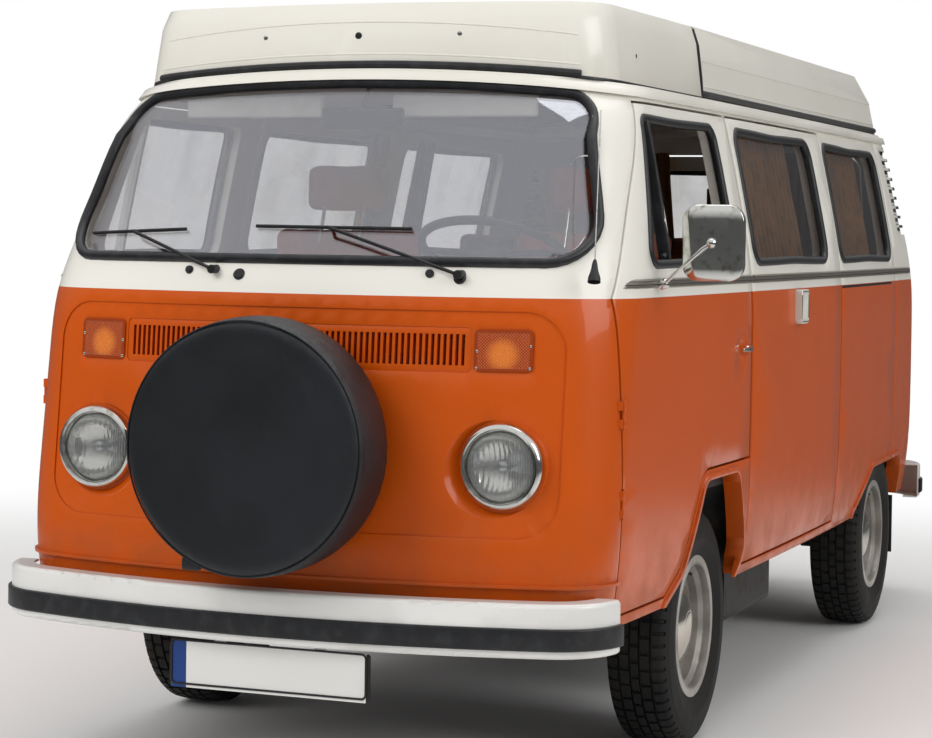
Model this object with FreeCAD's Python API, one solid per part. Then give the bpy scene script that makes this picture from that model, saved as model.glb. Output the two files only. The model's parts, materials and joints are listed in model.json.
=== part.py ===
# Camper van with a tilting roof, built as separate pieces. Millimetres, +Z up,
# the front faces -Y, and +X is the vehicle's own left side.
# While the pieces are made, Y = 0 is the front axle and Z = 0 is the floor.
import FreeCAD, Part
import math
import os

os.makedirs("parts", exist_ok=True)
V = FreeCAD.Vector
far = 6000
least_edge = 0.01

# Running gear
wheelbase = 2400
track_front = 1395
track_rear = 1436
tyre_diameter = 650
tyre_width = 180
tyre_bead_gap = 3
tyre_shoulder = 12
tyre_crown = 3
tyre_shoulder_width = 16
tyre_crown_width = 34
tyre_wall_high = 55
tyre_wall_low = 25
tyre_wall_round = 4
rim_diameter = 356
rim_width = 140
rim_flange = 17
rim_wall = 8
wheel_disc_inner = 14
wheel_disc_outer = 24
hub_diameter = 120
hub_length = 45
rim_step_height = 12
rim_step_offset = 46
wheel_disc_bead = 31
hubcap_diameter = 232
hubcap_seat = 42
hubcap_crown = 66
hubcap_shoulder = 59
hubcap_edge = 34
shaft_diameter = 40
bore_clearance = 0.1
kingpin_diameter = 44
kingpin_height = 150
kingpin_offset = 545
eye_diameter = 64
eye_height = 28
eye_gap = 5
arm_diameter = 26
arm_sink = 20
axle_tube_diameter = 52
axle_tube_spacing = 74
axle_tube_setback = 130
axle_tube_inset = 115
axle_clamp_depth = 70

# Body form: overall sizes, then for each level the shares of height, nose
# reach, half width, tail reach, front corner and rear corner
body_height = 1860
nose_reach = 1075
body_half = 848
tail_reach = 3292
front_corner = 295
rear_corner = 240
body_level_shares = [
    (0.1774, 0.9628, 0.9434, 0.9796, 0.508, 0.708),
    (0.2312, 0.9879, 0.9670, 0.9888, 0.508, 0.750),
    (0.2957, 1.0000, 0.9858, 0.9957, 0.525, 0.792),
    (0.4489, 0.9879, 0.9988, 1.0000, 0.671, 0.833),
    (0.5806, 0.9674, 1.0000, 0.9988, 0.814, 0.854),
    (0.6667, 0.9470, 0.9965, 0.9939, 0.942, 0.875),
    (0.7070, 0.9191, 0.9882, 0.9888, 1.000, 0.896),
    (0.8065, 0.8186, 0.9505, 0.9745, 0.966, 0.938),
    (0.9247, 0.6837, 0.8939, 0.9514, 0.915, 0.979),
    (1.0000, 0.5953, 0.8561, 0.9341, 0.888, 1.000),
]
nose_radius = 2400
side_radius = 46000
tail_radius = 5200
side_middle = 1100
wall = 45
apron_level = 392
sill_level = 430
floor_level = 470
roof_edge_level = 1786
roof_rise = 40
roof_half = 735
roof_skin = 30
gutter_reach = 14
gutter_depth = 30
gutter_height = 22

# Doors, lids and seams
seam = 7
door_rear_gap = 11
hinge_low = 740
hinge_high = 960
hinge_stand = 2
hinge_barrel = 10
hinge_leaf = 22
hinge_play = 0.3
hinge_room = 5
leaf_depth = 32
leaf_reach = 14
leaf_start = 2
lid_hinge_x = 300
lid_hinge_gap = 2
door_front = -812
belt_level = 1243
door_top_front = -470
door_top_level = 1740
door_rear = 330
door_sill_level = 462
slide_front = 352
slide_rear = 1555
rear_split = 2650

# Side windows
window_low = 1322
window_high = 1708
window_round = 55
cab_window_round = 40
cab_window_front_low = -604
cab_window_front_high = -470
cab_window_rear = 190
vent_bar_foot = -433
vent_bar_head = -422
vent_bar_width = 14
vent_bar_depth = 26
mid_window_front = 392
mid_window_rear = 1362
rear_window_front = 1572
rear_window_rear = 2562
pane = 6
pane_depth = 14

# Wheel openings: corners (y from the axle, z) as shares of the tyre's diameter
front_arch_shares = [
    (-0.723, 0.4615),
    (-0.603, 0.6615),
    (-0.4123, 0.7662),
    (-0.1723, 1.1354),
    (0.3262, 1.1354),
    (0.5077, 0.7692),
    (0.4031, 0.6615),
    (0.4031, 0.4615),
]
rear_arch_shares = [
    (-0.7846, 0.4615),
    (-0.7308, 0.6769),
    (-0.2615, 0.8969),
    (0.7077, 0.8969),
    (0.7385, 0.4615),
]
arch_round = 60
arch_band = 34
arch_lip_out = 7
arch_lip_width = 16
wheel_relief = 25
front_skin_inner = 808
rear_skin_inner = 815

# Front
screen_low = 1330
screen_high = 1797
screen_half_low = 742
screen_half_high = 640
screen_arch = 30
screen_round = 95
recess_half = 694
recess_low = 662
recess_high = 1210
recess_round = 100
recess_depth = 4
apron_lip_level = 543
apron_lip_height = 9
apron_lip_out = 9
grille_low = 1060
grille_high = 1170
grille_half = 470
grille_round = 12
grille_depth = 20
grille_set_in = 6
grille_slot_start = 40
grille_slot_pitch = 15
grille_slot_width = 8
grille_slot_margin = 17
grille_slot_count = 28
lamp_spacing = 1106
lamp_level = 835
lamp_diameter = 205
lamp_ring_diameter = 215
lamp_ring_depth = 26
lamp_seat = -986
lamp_body_depth = 52
lamp_bowl_gap = 5
bowl_flare_share = 0.7
indicator_inner = 478
indicator_outer = 618
indicator_low = 1064
indicator_high = 1166
indicator_round = 14
indicator_depth = 25

# Rear
tailgate_half = 590
tailgate_low = 985
tailgate_high = 1716
tailgate_round = 60
tail_window_half = 500
tail_window_low = 1335
tail_window_high = 1660
tail_window_round = 50
engine_lid_half = 470
engine_lid_low = 560
engine_lid_high = 925
engine_lid_round = 40
tail_lamp_inner = 610
tail_lamp_outer = 730
tail_lamp_low = 700
tail_lamp_high = 1010
tail_lamp_round = 20
louvre_count = 9
louvre_low = 1428
louvre_pitch = 36
louvre_height = 26
louvre_depth = 12
louvre_front = 390
louvre_rear = 130

# Bumpers
bumper_low = 388
bumper_high = 520
bumper_reach = 1172
bumper_half = 876
bumper_round = 12
bumper_depth = 60
bumper_wall = 6
bumper_corner = 185
bumper_end = -905
strip_low = 408
strip_high = 462
strip_out = 10
rear_bumper_reach = 3392
rear_bumper_end = 3140
rail_inner = 270
rail_outer = 330
rail_low = 368
rail_front = -970
rail_rear = 3150
hanger_low = 392

# Spare wheel
spare_diameter = 634
spare_width = 190
spare_level = 876
spare_reach = 1302
spare_round = 40
spare_bracket_diameter = 170

# Roof tray and tilting roof
gasket = 8
gasket_gap = 0.5
gap_seal_depth = 11
tray_top = 2000
tray_reach = 648
tray_half = 704
tray_corner = 150
tray_level_shares = [
    (0.87, 1, 1, 1),
    (0.975, 0.9599, 0.9631, 0.9667),
    (1, 0.9259, 0.9403, 0.9333),
]
tray_form_rear = 2600
tray_rear = 305
tray_skin = 22
pop_front = 322
pop_top_level = 2006
pop_half = 690
pop_rear = 2965
pop_level_shares = [
    (0.8674, 1, 1),
    (0.9546, 0.9623, 0.9798),
    (1, 0.9275, 0.9265),
]
pop_corner = 30
pop_skin = 22
pop_hinge_behind = 10
pop_hinge_level = 1840
pop_leaf_depth = 52
pop_leaf_half = 4
hole_half = 520
hole_front = 420
hole_rear = 2450
fabric_width = 30
fabric_height = 70
fabric_gap = 8

# Floor and living space
floor_skin = 40
floor_front = -1000
seat_box_front = -410
seat_box_rear = 330
seat_box_level = 740
deck_front = 1990
deck_level = 930
deck_rear = 3300
housing_inner = 425
housing_radius = 440
housing_skin = 18
rear_housing_inner = 600
rear_housing_radius = 385
rail_clearance = 6
mat_right = 325
mat_left = 690
mat_front = 445
mat_rear = 1420
mat_depth = 4
seat_middle = 385
seat_width = 500
seat_front = -330
seat_depth = 470
seat_thickness = 130
seat_back_height = 560
seat_back_thickness = 110
seat_back_lean_share = 0.125
seat_round = 45
rest_width = 260
rest_height = 150
rest_thickness = 80
rest_round = 30
rest_gap = 25
rest_post_diameter = 12
dash_reach = 790
dash_low = 1170
dash_high = 1296
dash_round = 30
dash_door_gap = 14
steering_hub_y = 610
steering_hub_level = 1335
column_foot_y = 830
column_foot_level = 860
column_end_y = 905
column_diameter = 44
column_gap = 20
column_room = 120
bracket_width = 40
bracket_high = 1215
bracket_reach = 690
steering_diameter = 400
steering_grip = 24
steering_hub = 64
steering_hub_length = 50
steering_rise = 20
spoke_diameter = 18
spoke_rise = 10
bench_front = 1430
bench_level = 890
bench_back_level = 1410
bench_left = 330
bench_right = 660
cushion_height = 110
cushion_round = 30
mattress_half = 560
mattress_rear = 3080
mattress_height = 95
cabinet_gap = 5
wardrobe_inner = 380
wardrobe_front = 1600
wardrobe_high = 1640
kitchen_inner = 340
kitchen_front = 445
kitchen_rear = 860
kitchen_high = 1180
worktop = 22
worktop_lip = 14

# Engine, exhaust and tank
engine_half = 300
engine_front = 2660
engine_rear = 3120
engine_low = 300
engine_high = 760
gearbox_half = 130
gearbox_front = 2130
gearbox_low = 240
gearbox_high = 460
stub_overrun = 25
swing_diameter = 50
swing_front = 2040
swing_level = 340
carrier_diameter = 120
carrier_inner = 540
carrier_width = 40
hanger_depth = 50
muffler_diameter = 130
muffler_half = 330
muffler_middle = 3180
muffler_level = 270
tail_pipe_x = 220
tail_pipe_reach = 3330
tail_pipe_level = 240
tail_pipe_diameter = 42
muffler_strap_half = 60
muffler_strap_height = 25
tank_inner = 520
tank_outer = 700
tank_front = 620
tank_rear = 1200
tank_low = 236
tank_round = 25

# Small fittings; each wiper has its pivot and its blade's ends (x, z) as shares of the
# windscreen's lower half width and level
wiper_shares = [
    [(-0.2992, 0.9774), (-0.8827, 1.0421), (-0.465, 1.0526)],
    [(0.5795, 0.9759), (-0.1873, 1.0602), (0.3801, 1.0586)],
]
wiper_rod = 9
wiper_gap = 3
wiper_stem = 22
wiper_stem_out = 30
wiper_arm_out = 24
wiper_arm_rise = 22
blade_parts = 6
mirror_out = 960
mirror_reach = 567
mirror_level = 1383
mirror_width = 160
mirror_height = 195
mirror_depth = 26
mirror_round = 38
mirror_arm = 12
mirror_foot_y = 560
mirror_foot_level = 1268
mirror_foot_diameter = 40
mirror_foot_out = 16
handle_level = 1081
handle_middle = 245
handle_length = 110
handle_height = 20
handle_out = 24
handle_gap = 12
handle_round = 7
handle_boss_start = 20
handle_boss_width = 30
dish_radius = 60
dish_depth = 9
hookup_middle = 915
hookup_level = 1187
hookup_size = 104
hookup_depth = 18
hookup_round = 10
plate_length = 538
plate_height = 118
plate_level = 318
plate_reach = 1128
plate_depth = 14
plate_round = 10
strap_inner = 120
strap_outer = 150
strap_depth = 4
rear_plate_level = 650
rear_plate_reach = 3306
flap_low = 215
flap_inner = 640
flap_outer = 796
flap_front = 2778
flap_depth = 8


def box(x0, x1, y0, y1, z0, z1):
    return Part.makeBox(x1 - x0, y1 - y0, z1 - z0, V(x0, y0, z0))


def rod(start, end, diameter):
    return Part.makeCylinder(diameter / 2, (end - start).Length, start, end - start)


def disc(y, z, radius, x0, x1):
    return Part.makeCylinder(radius, x1 - x0, V(x0, y, z), V(1, 0, 0))


def flipped(shape):
    return shape.mirror(V(0, 0, 0), V(1, 0, 0))


def both(shape):
    return [shape, flipped(shape)]


def joined(shapes):
    return shapes[0].fuse(shapes[1:]).removeSplitter()


def main_solid(shape):
    return max(shape.Solids, key=lambda solid: solid.Volume)


def four(first, last, low, high):
    """Corners of an upright rectangle."""
    return [(first, low), (first, high), (last, high), (last, low)]


def flat_face(points, rounding):
    """Flat face through the points, with rounded corners if a rounding is given."""
    if not rounding:
        return Part.Face(Part.makePolygon(points + points[:1]))
    count = len(points)
    arcs = []
    for index in range(count):
        corner = points[index]
        before = points[index - 1] - corner
        after = points[(index + 1) % count] - corner
        half_angle = before.getAngle(after) / 2
        reach = rounding / math.tan(half_angle)
        start = corner + before.normalize() * reach
        end = corner + after.normalize() * reach
        inward = (before + after).normalize()
        middle = corner + inward * (rounding / math.sin(half_angle) - rounding)
        arcs.append((start, middle, end))
    edges = []
    for index in range(count):
        start, middle, end = arcs[index]
        following = arcs[(index + 1) % count][0]
        edges.append(Part.Arc(start, middle, end).toShape())
        if (following - end).Length > least_edge:
            edges.append(Part.makeLine(end, following))
    return Part.Face(Part.Wire(edges))


def grown(face, amount):
    """The face with its edge moved outward by amount."""
    if not amount:
        return face
    return Part.Face(face.makeOffset2D(amount, 2).OuterWire)


def side_prism(outline, x0, x1, rounding=0, grow=0):
    """Prism along X from an outline of (y, z) points."""
    points = [V(x0, y, z) for y, z in outline]
    return grown(flat_face(points, rounding), grow).extrude(V(x1 - x0, 0, 0))


def front_prism(outline, y0, y1, rounding=0, grow=0):
    """Prism along Y from an outline of (x, z) points."""
    points = [V(x, y0, z) for x, z in outline]
    return grown(flat_face(points, rounding), grow).extrude(V(0, y1 - y0, 0))


def circles_meet(first, first_radius, second, second_radius):
    """The two points where two circles in a level plane cross."""
    across = second - first
    span = across.Length
    along = (first_radius ** 2 - second_radius ** 2 + span ** 2) / (2 * span)
    height = math.sqrt(first_radius ** 2 - along ** 2)
    middle = first + across * (along / span)
    side = V(-across.y, across.x, 0).normalize() * height
    return [middle + side, middle - side]


def on_circle(centre, towards, radius):
    return centre + (towards - centre).normalize() * radius


def level_wire(z, nose, half, tail, front_round, rear_round, inset):
    """Closed outline of the body at one height, from eight tangent arcs."""
    nose_centre = V(0, nose_radius - nose, 0)
    side_centre = V(half - side_radius, side_middle, 0)
    tail_centre = V(0, tail - tail_radius, 0)
    side_circle = (side_centre, side_radius - front_round)
    front = circles_meet(nose_centre, nose_radius - front_round, *side_circle)
    side_circle = (side_centre, side_radius - rear_round)
    rear = circles_meet(tail_centre, tail_radius - rear_round, *side_circle)
    front_centre = min(front, key=lambda point: point.y)
    rear_centre = max(rear, key=lambda point: point.y)
    nose_end = on_circle(nose_centre, front_centre, nose_radius - inset)
    side_start = on_circle(side_centre, front_centre, side_radius - inset)
    side_end = on_circle(side_centre, rear_centre, side_radius - inset)
    tail_end = on_circle(tail_centre, rear_centre, tail_radius - inset)
    front_middle = on_circle(front_centre, (nose_end + side_start) / 2, front_round - inset)
    rear_middle = on_circle(rear_centre, (side_end + tail_end) / 2, rear_round - inset)
    side_point = V(half - inset, side_middle, 0)
    left = [(nose_end, front_middle, side_start), (side_start, side_point, side_end)]
    left.append((side_end, rear_middle, tail_end))
    arcs = [(flipped_point(nose_end), V(0, inset - nose, 0), nose_end)] + left
    arcs.append((tail_end, V(0, tail - inset, 0), flipped_point(tail_end)))
    for start, middle, end in reversed(left):
        arcs.append((flipped_point(end), flipped_point(middle), flipped_point(start)))
    lift = V(0, 0, z)
    return Part.Wire([Part.Arc(p + lift, q + lift, r + lift).toShape() for p, q, r in arcs])


def flipped_point(point):
    return V(-point.x, point.y, point.z)


def sized(share_rows, sizes):
    """Rows of lengths from rows of shares."""
    return [[share * size for share, size in zip(row, sizes)] for row in share_rows]


body_sizes = (body_height, nose_reach, body_half, tail_reach, front_corner, rear_corner)
body_levels = sized(body_level_shares, body_sizes)


def body_form(inset):
    """The whole body's outer form, shrunk inward by inset."""
    return Part.makeLoft([level_wire(*level, inset) for level in body_levels], True, False)


def crown_form(drop):
    """Everything under the roof's arched surface, lowered by drop."""
    reach = body_half + wall
    radius = (roof_half ** 2 + roof_rise ** 2) / (2 * roof_rise)
    middle = roof_edge_level + roof_rise - drop
    edge = middle - radius + math.sqrt(radius ** 2 - reach ** 2)
    y0 = -nose_reach - wall
    y1 = tail_reach + wall
    arc = Part.Arc(V(-reach, y0, edge), V(0, y0, middle), V(reach, y0, edge)).toShape()
    corners = [V(reach, y0, edge), V(reach, y0, 0), V(-reach, y0, 0), V(-reach, y0, edge)]
    base = Part.makePolygon(corners)
    return Part.Face(Part.Wire([arc] + base.Edges)).extrude(V(0, y1 - y0, 0))


def front_of(form, x, z):
    """Y of a form's front surface."""
    return form.common(Part.makeLine(V(x, -far, z), V(x, 0, z))).BoundBox.YMin


def side_of(form, y, z):
    """X of a form's left surface."""
    return form.common(Part.makeLine(V(0, y, z), V(far, y, z))).BoundBox.XMax


def rear_of(form, x, z):
    """Y of a form's rear surface."""
    return form.common(Part.makeLine(V(x, 0, z), V(x, far, z))).BoundBox.YMax


def block(corner, opposite):
    low = [min(pair) for pair in zip(corner, opposite)]
    high = [max(pair) for pair in zip(corner, opposite)]
    return box(low[0], high[0], low[1], high[1], low[2], high[2])


def hinge(point, along, outward, towards, fixed, moving):
    """Outer knuckles for the fixed piece and a middle one for the moving piece."""
    start = point - along * (hinge_leaf * 1.5)
    steps = [start + along * (hinge_leaf * index) for index in range(4)]
    beyond = along * hinge_room
    room = rod(steps[0] - beyond, steps[3] + beyond, hinge_barrel + 2 * hinge_room)
    sunk = outward * -leaf_depth
    near = towards * leaf_start
    deep = towards * leaf_reach
    ends = []
    for low, high in ((steps[0], steps[1]), (steps[2], steps[3])):
        ends.append(rod(low, high, hinge_barrel))
        ends.append(block(low - near, high + sunk - deep))
    low = steps[1] + along * hinge_play
    high = steps[2] - along * hinge_play
    middle = [rod(low, high, hinge_barrel), block(low + near, high + sunk + deep)]
    return joined([fixed.cut(room)] + ends), joined([moving.cut(room)] + middle)


# The body's outer and inner forms, its wall and its roof layer
nodes = {}
side_in = body_half / 2
hub_level = tyre_diameter / 2
tyre_radius = tyre_diameter / 2
outer = body_form(0)
inner = body_form(wall)
recess_floor = body_form(recess_depth)
roof_under = crown_form(roof_skin)
low_nose = box(-far, far, -far, door_front - seam, -far, apron_level)
low_body = box(-far, far, door_front - seam, far, -far, sill_level)
shell = outer.common(roof_under).cut(inner).cut([low_nose, low_body])
lip_skin = body_form(-arch_lip_out).cut(inner).cut(low_body)
roof_layer = outer.common(crown_form(0)).cut(roof_under)

# Outlines in side view
arch_sizes = (tyre_diameter, tyre_diameter)
front_arch_outline = sized(front_arch_shares, arch_sizes)
rear_arch_outline = [(wheelbase + y, z) for y, z in sized(rear_arch_shares, arch_sizes)]
door_step_level = max(z for y, z in front_arch_outline) + arch_band
door_edge = [
    (door_front, door_sill_level),
    (door_front, belt_level),
    (door_top_front, door_top_level),
]
door_outline = door_edge + four(door_rear, door_rear, door_sill_level, door_top_level)[2:]
hole_rear_edge = door_rear + door_rear_gap - seam
door_hole = door_edge + four(hole_rear_edge, hole_rear_edge, door_sill_level, door_top_level)[2:]
slide_outline = four(slide_front, slide_rear, door_sill_level, door_top_level)
cab_window = [
    (cab_window_front_low, window_low),
    (cab_window_front_high, window_high),
    (cab_window_rear, window_high),
    (cab_window_rear, window_low),
]
vent_bar_outline = [
    (vent_bar_foot, window_low),
    (vent_bar_head, window_high),
    (vent_bar_head + vent_bar_width, window_high),
    (vent_bar_foot + vent_bar_width, window_low),
]
nose_outline = [
    (-far, -far),
    (door_front - seam, -far),
    (door_front - seam, belt_level),
    (door_top_front - seam, door_top_level + seam),
    (door_top_front - seam, far),
    (-far, far),
]
nose_region = side_prism(nose_outline, -far, far)
tail_region = box(-far, far, rear_split, far, -far, far)


def arch_tool(outline, grow=0):
    """A wheel opening through the left side, grown by a width."""
    return side_prism(outline, side_in, far, arch_round, grow)


def door_tool(outline, grow):
    """The cab door's outline through the left side, which leaves the arch's band."""
    band = arch_tool(front_arch_outline, arch_band - grow)
    step = box(side_in, far, 0, far, -far, door_step_level - grow)
    return side_prism(outline, side_in, far, 0, grow).cut([band, step])


def side_window(outline, rounding=window_round):
    return side_prism(outline, side_in, far, rounding)


# Side frames: pillars, sill, wheel arches with raised lips, and the rail over the doors
mid_window = side_window(four(mid_window_front, mid_window_rear, window_low, window_high))
rear_window = side_window(four(rear_window_front, rear_window_rear, window_low, window_high))
front_arch = arch_tool(front_arch_outline)
rear_arch = arch_tool(rear_arch_outline)
front_lip = arch_tool(front_arch_outline, arch_lip_width).common(lip_skin)
rear_lip = arch_tool(rear_arch_outline, arch_lip_width).common(lip_skin)
relief_radius = tyre_radius + wheel_relief
front_relief = disc(0, hub_level, relief_radius, side_in, front_skin_inner)
rear_relief = disc(wheelbase, hub_level, relief_radius, side_in, rear_skin_inner)
side_frame = shell.common(box(0, far, -far, rear_split, -far, far)).cut(nose_region)
side_frame = side_frame.cut([door_tool(door_hole, seam), rear_window, mid_window])
side_frame = side_frame.fuse([front_lip, rear_lip.cut(tail_region)])
side_frame = side_frame.cut([front_arch, rear_arch, front_relief, rear_relief])
side_frame = main_solid(side_frame.removeSplitter())
slide_gap = side_prism(slide_outline, side_in, far, 0, seam)
nodes["side_frame_left"] = main_solid(side_frame.cut(slide_gap))
nodes["side_frame_right"] = flipped(side_frame)

# Front panel: recessed face, apron bead, windscreen opening, lamp bowls and grille opening
screen_outline = [
    (-screen_half_low, screen_low),
    (-screen_half_high, screen_high - screen_arch),
    (-screen_half_high / 2, screen_high - screen_arch / 4),
    (0, screen_high),
    (screen_half_high / 2, screen_high - screen_arch / 4),
    (screen_half_high, screen_high - screen_arch),
    (screen_half_low, screen_low),
]
screen_tool = front_prism(screen_outline, -far, 0, screen_round)
recess_outline = four(-recess_half, recess_half, recess_low, recess_high)
recess = front_prism(recess_outline, -far, 0, recess_round).cut(recess_floor)
bead_high = apron_lip_level + apron_lip_height
bead = box(-far, far, -far, 0, apron_lip_level, bead_high).common(nose_region)
bead = bead.common(body_form(-apron_lip_out)).cut(inner)
grille_outline = four(-grille_half, grille_half, grille_low, grille_high)
grille_tool = front_prism(grille_outline, -far, 0, grille_round)
indicator_outline = four(indicator_inner, indicator_outer, indicator_low, indicator_high)
indicator_tool = front_prism(indicator_outline, -far, 0, indicator_round)
lamp_middle = V(lamp_spacing / 2, lamp_seat, lamp_level)
ahead = V(0, -1, 0)
behind = V(0, 1, 0)
bowl_radius = lamp_ring_diameter / 2 + lamp_bowl_gap
bowl_mouth = bowl_radius + lamp_diameter * bowl_flare_share
bowl = Part.makeCone(bowl_radius, bowl_mouth, lamp_diameter, lamp_middle, ahead)
collar = Part.makeCylinder(bowl_radius, wall, lamp_middle, behind)
lamp_hole = Part.makeCylinder(lamp_diameter / 2, lamp_diameter, lamp_middle, behind)
rail_top = floor_level - floor_skin
hanger_gap = box(rail_inner - seam, rail_outer + seam, -far, 0, -far, rail_top + seam)
front_panel = shell.common(nose_region).cut(recess).fuse(bead).cut(both(bowl))
front_panel = front_panel.fuse(both(collar.cut(inner)))
front_cuts = [screen_tool, grille_tool] + both(indicator_tool) + both(lamp_hole)
front_panel = front_panel.cut(front_cuts + both(hanger_gap))
front_panel = main_solid(front_panel.removeSplitter())

# Rear panel, tailgate and engine lid
tailgate_outline = four(-tailgate_half, tailgate_half, tailgate_low, tailgate_high)
engine_outline = four(-engine_lid_half, engine_lid_half, engine_lid_low, engine_lid_high)
tail_window_outline = four(-tail_window_half, tail_window_half, tail_window_low, tail_window_high)
tail_lamp_outline = four(tail_lamp_inner, tail_lamp_outer, tail_lamp_low, tail_lamp_high)


def rear_tool(outline, rounding, grow=0):
    return front_prism(outline, rear_split, far, rounding, grow)


tail_lamp_tool = rear_tool(tail_lamp_outline, tail_lamp_round)
tail_window_tool = rear_tool(tail_window_outline, tail_window_round)
tailgate_gap = rear_tool(tailgate_outline, tailgate_round, seam)
engine_lid_gap = rear_tool(engine_outline, engine_lid_round, seam)
rear_panel = shell.common(tail_region).fuse(both(rear_lip.common(tail_region)))
rear_panel = rear_panel.cut([tailgate_gap, engine_lid_gap] + both(tail_lamp_tool))
rear_panel = rear_panel.cut(both(rear_arch) + both(rear_relief))
louvre_floor = body_form(louvre_depth)
louvres = []
for index in range(louvre_count):
    level = louvre_low + index * louvre_pitch
    tail = rear_of(outer, 0, level)
    slot_low = level - louvre_height / 2
    slot_high = level + louvre_height / 2
    louvre = box(side_in, far, tail - louvre_front, tail - louvre_rear, slot_low, slot_high)
    louvres += both(louvre.cut(louvre_floor))
rear_panel = main_solid(rear_panel.cut(louvres).removeSplitter())
tailgate = shell.common(rear_tool(tailgate_outline, tailgate_round)).cut(tail_window_tool)
engine_lid = shell.common(rear_tool(engine_outline, engine_lid_round))

# Doors: the cab door keeps a bar between its vent pane and its sliding pane
cab_window_tool = side_window(cab_window, cab_window_round)
vent_bar = side_prism(vent_bar_outline, side_in, far)
handle_side = side_of(outer, handle_middle, handle_level)
dish_middle = V(handle_side + dish_radius - dish_depth, handle_middle - handle_boss_start, handle_level)
dish = Part.makeSphere(dish_radius, dish_middle)
cab_door = shell.common(door_tool(door_outline, 0)).cut([nose_region, dish, front_relief])
bar = cab_door.common(vent_bar).common(cab_window_tool).cut(body_form(vent_bar_depth))
cab_door = joined([cab_door.cut(cab_window_tool), bar])
nodes["sliding_door"] = shell.common(side_prism(slide_outline, side_in, far)).cut(mid_window)

# Knuckles of the doors and lids stand in the seams
hinge_y = door_front - seam / 2
hinge_x = side_of(outer, hinge_y, (hinge_low + hinge_high) / 2) + hinge_stand
upward = V(0, 0, 1)
outward = V(1, 0, 0)
for z in (hinge_low, hinge_high):
    point = V(hinge_x, hinge_y, z)
    front_panel, cab_door = hinge(point, upward, outward, behind, front_panel, cab_door)
    front_panel = flipped(front_panel)
    front_panel = hinge(point, upward, outward, behind, front_panel, cab_door)[0]
    front_panel = flipped(front_panel)
lids = {"tailgate": (tailgate, tailgate_high), "engine_lid": (engine_lid, engine_lid_high)}
for name, (lid, lid_top) in lids.items():
    z = lid_top + seam / 2
    y = rear_of(outer, 0, z) + hinge_barrel / 2 + lid_hinge_gap
    for x in (-lid_hinge_x, lid_hinge_x):
        rear_panel, lid = hinge(V(x, y, z), outward, behind, V(0, 0, -1), rear_panel, lid)
    nodes[name] = lid
nodes["front_panel"] = front_panel
nodes["rear_panel"] = rear_panel
nodes["cab_door_left"] = cab_door
nodes["cab_door_right"] = flipped(cab_door)

# Glass lies inside each opening
pane_form = body_form(pane_depth)
pane_layer = pane_form.common(roof_under).cut(body_form(pane_depth + pane))
side_panes = both(pane_layer.common(mid_window)) + both(pane_layer.common(rear_window))
cab_panes = pane_layer.common(cab_window_tool).cut(vent_bar)
vent_pane = min(cab_panes.Solids, key=lambda solid: solid.BoundBox.YMin)
nodes["windscreen"] = pane_layer.common(screen_tool)
nodes["side_glass"] = Part.makeCompound(side_panes)
nodes["cab_door_glass_right"] = flipped(cab_panes)
nodes["vent_glass_left"] = vent_pane
nodes["tailgate_glass"] = pane_layer.common(tail_window_tool)

# Fresh air grille: a plate set into the nose, with upright slots
set_back = outer.translated(behind * grille_set_in)
plate_back = outer.translated(behind * (grille_set_in + grille_depth))
grille = shell.common(grille_tool).common(set_back).cut(plate_back)
slots = []
for index in range(grille_slot_count):
    x = grille_slot_start + index * grille_slot_pitch
    slot_low = grille_low + grille_slot_margin
    slot_high = grille_high - grille_slot_margin
    slots += both(box(x, x + grille_slot_width, -far, 0, slot_low, slot_high))
nodes["fresh_air_grille"] = grille.cut(slots)

# Lamps: a ring in front of its seat, with the lamp's body in the panel's hole
lamp_ring = Part.makeCylinder(lamp_ring_diameter / 2, lamp_ring_depth, lamp_middle, ahead)
lamp_body = Part.makeCylinder(lamp_diameter / 2, lamp_body_depth, lamp_middle, behind)
indicator = shell.common(indicator_tool).cut(outer.translated(behind * indicator_depth))
nodes["front_lamps"] = Part.makeCompound(both(joined([lamp_ring, lamp_body])) + both(indicator))
nodes["tail_lamps"] = Part.makeCompound(both(shell.common(tail_lamp_tool)))


# Bumpers: folded channels, each with a rubber strip round its face
def bar_form(low, high, out, rounding=0):
    """Level slab with the bumpers' plan, grown outward by out."""
    corner = bumper_corner + out
    reaches = (bumper_reach + out, bumper_half + out, rear_bumper_reach + out)
    slab = Part.Face(level_wire(low, *reaches, corner, corner, 0)).extrude(V(0, 0, high - low))
    if not rounding:
        return slab
    level_edges = [edge for edge in slab.Edges if abs(edge.tangentAt(edge.FirstParameter).z) < 0.5]
    return slab.makeFillet(rounding, level_edges)


channel = bar_form(bumper_low + bumper_wall, bumper_high - bumper_wall, -bumper_wall)
core = bar_form(bumper_low - bumper_depth, bumper_high + bumper_depth, -bumper_depth)
ring = bar_form(bumper_low, bumper_high, 0, bumper_round).cut(core).cut(channel)
strip = bar_form(strip_low, strip_high, strip_out, strip_out / 2)
strip = strip.cut(bar_form(bumper_low, bumper_high, 0))
front_end = box(-far, far, -far, bumper_end, 0, far)
rear_end = box(-far, far, rear_bumper_end, far, 0, far)
nodes["front_bumper"] = main_solid(ring.common(front_end))
nodes["rear_bumper"] = main_solid(ring.common(rear_end))
nodes["bumper_strips"] = Part.makeCompound([strip.common(front_end), strip.common(rear_end)])

# Spare wheel under its cover, on a bracket
spare = Part.makeCylinder(spare_diameter / 2, spare_width, V(0, -spare_reach, spare_level), behind)
rims = [edge for edge in spare.Edges if isinstance(edge.Curve, Part.Circle)]
spare = spare.makeFillet(spare_round, rims)
bracket_start = V(0, spare_width - spare_reach, spare_level)
bracket = rod(bracket_start, bracket_start + behind * spare_width, spare_bracket_diameter)
nodes["spare_wheel"] = joined([spare, bracket.cut(recess_floor)])

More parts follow.
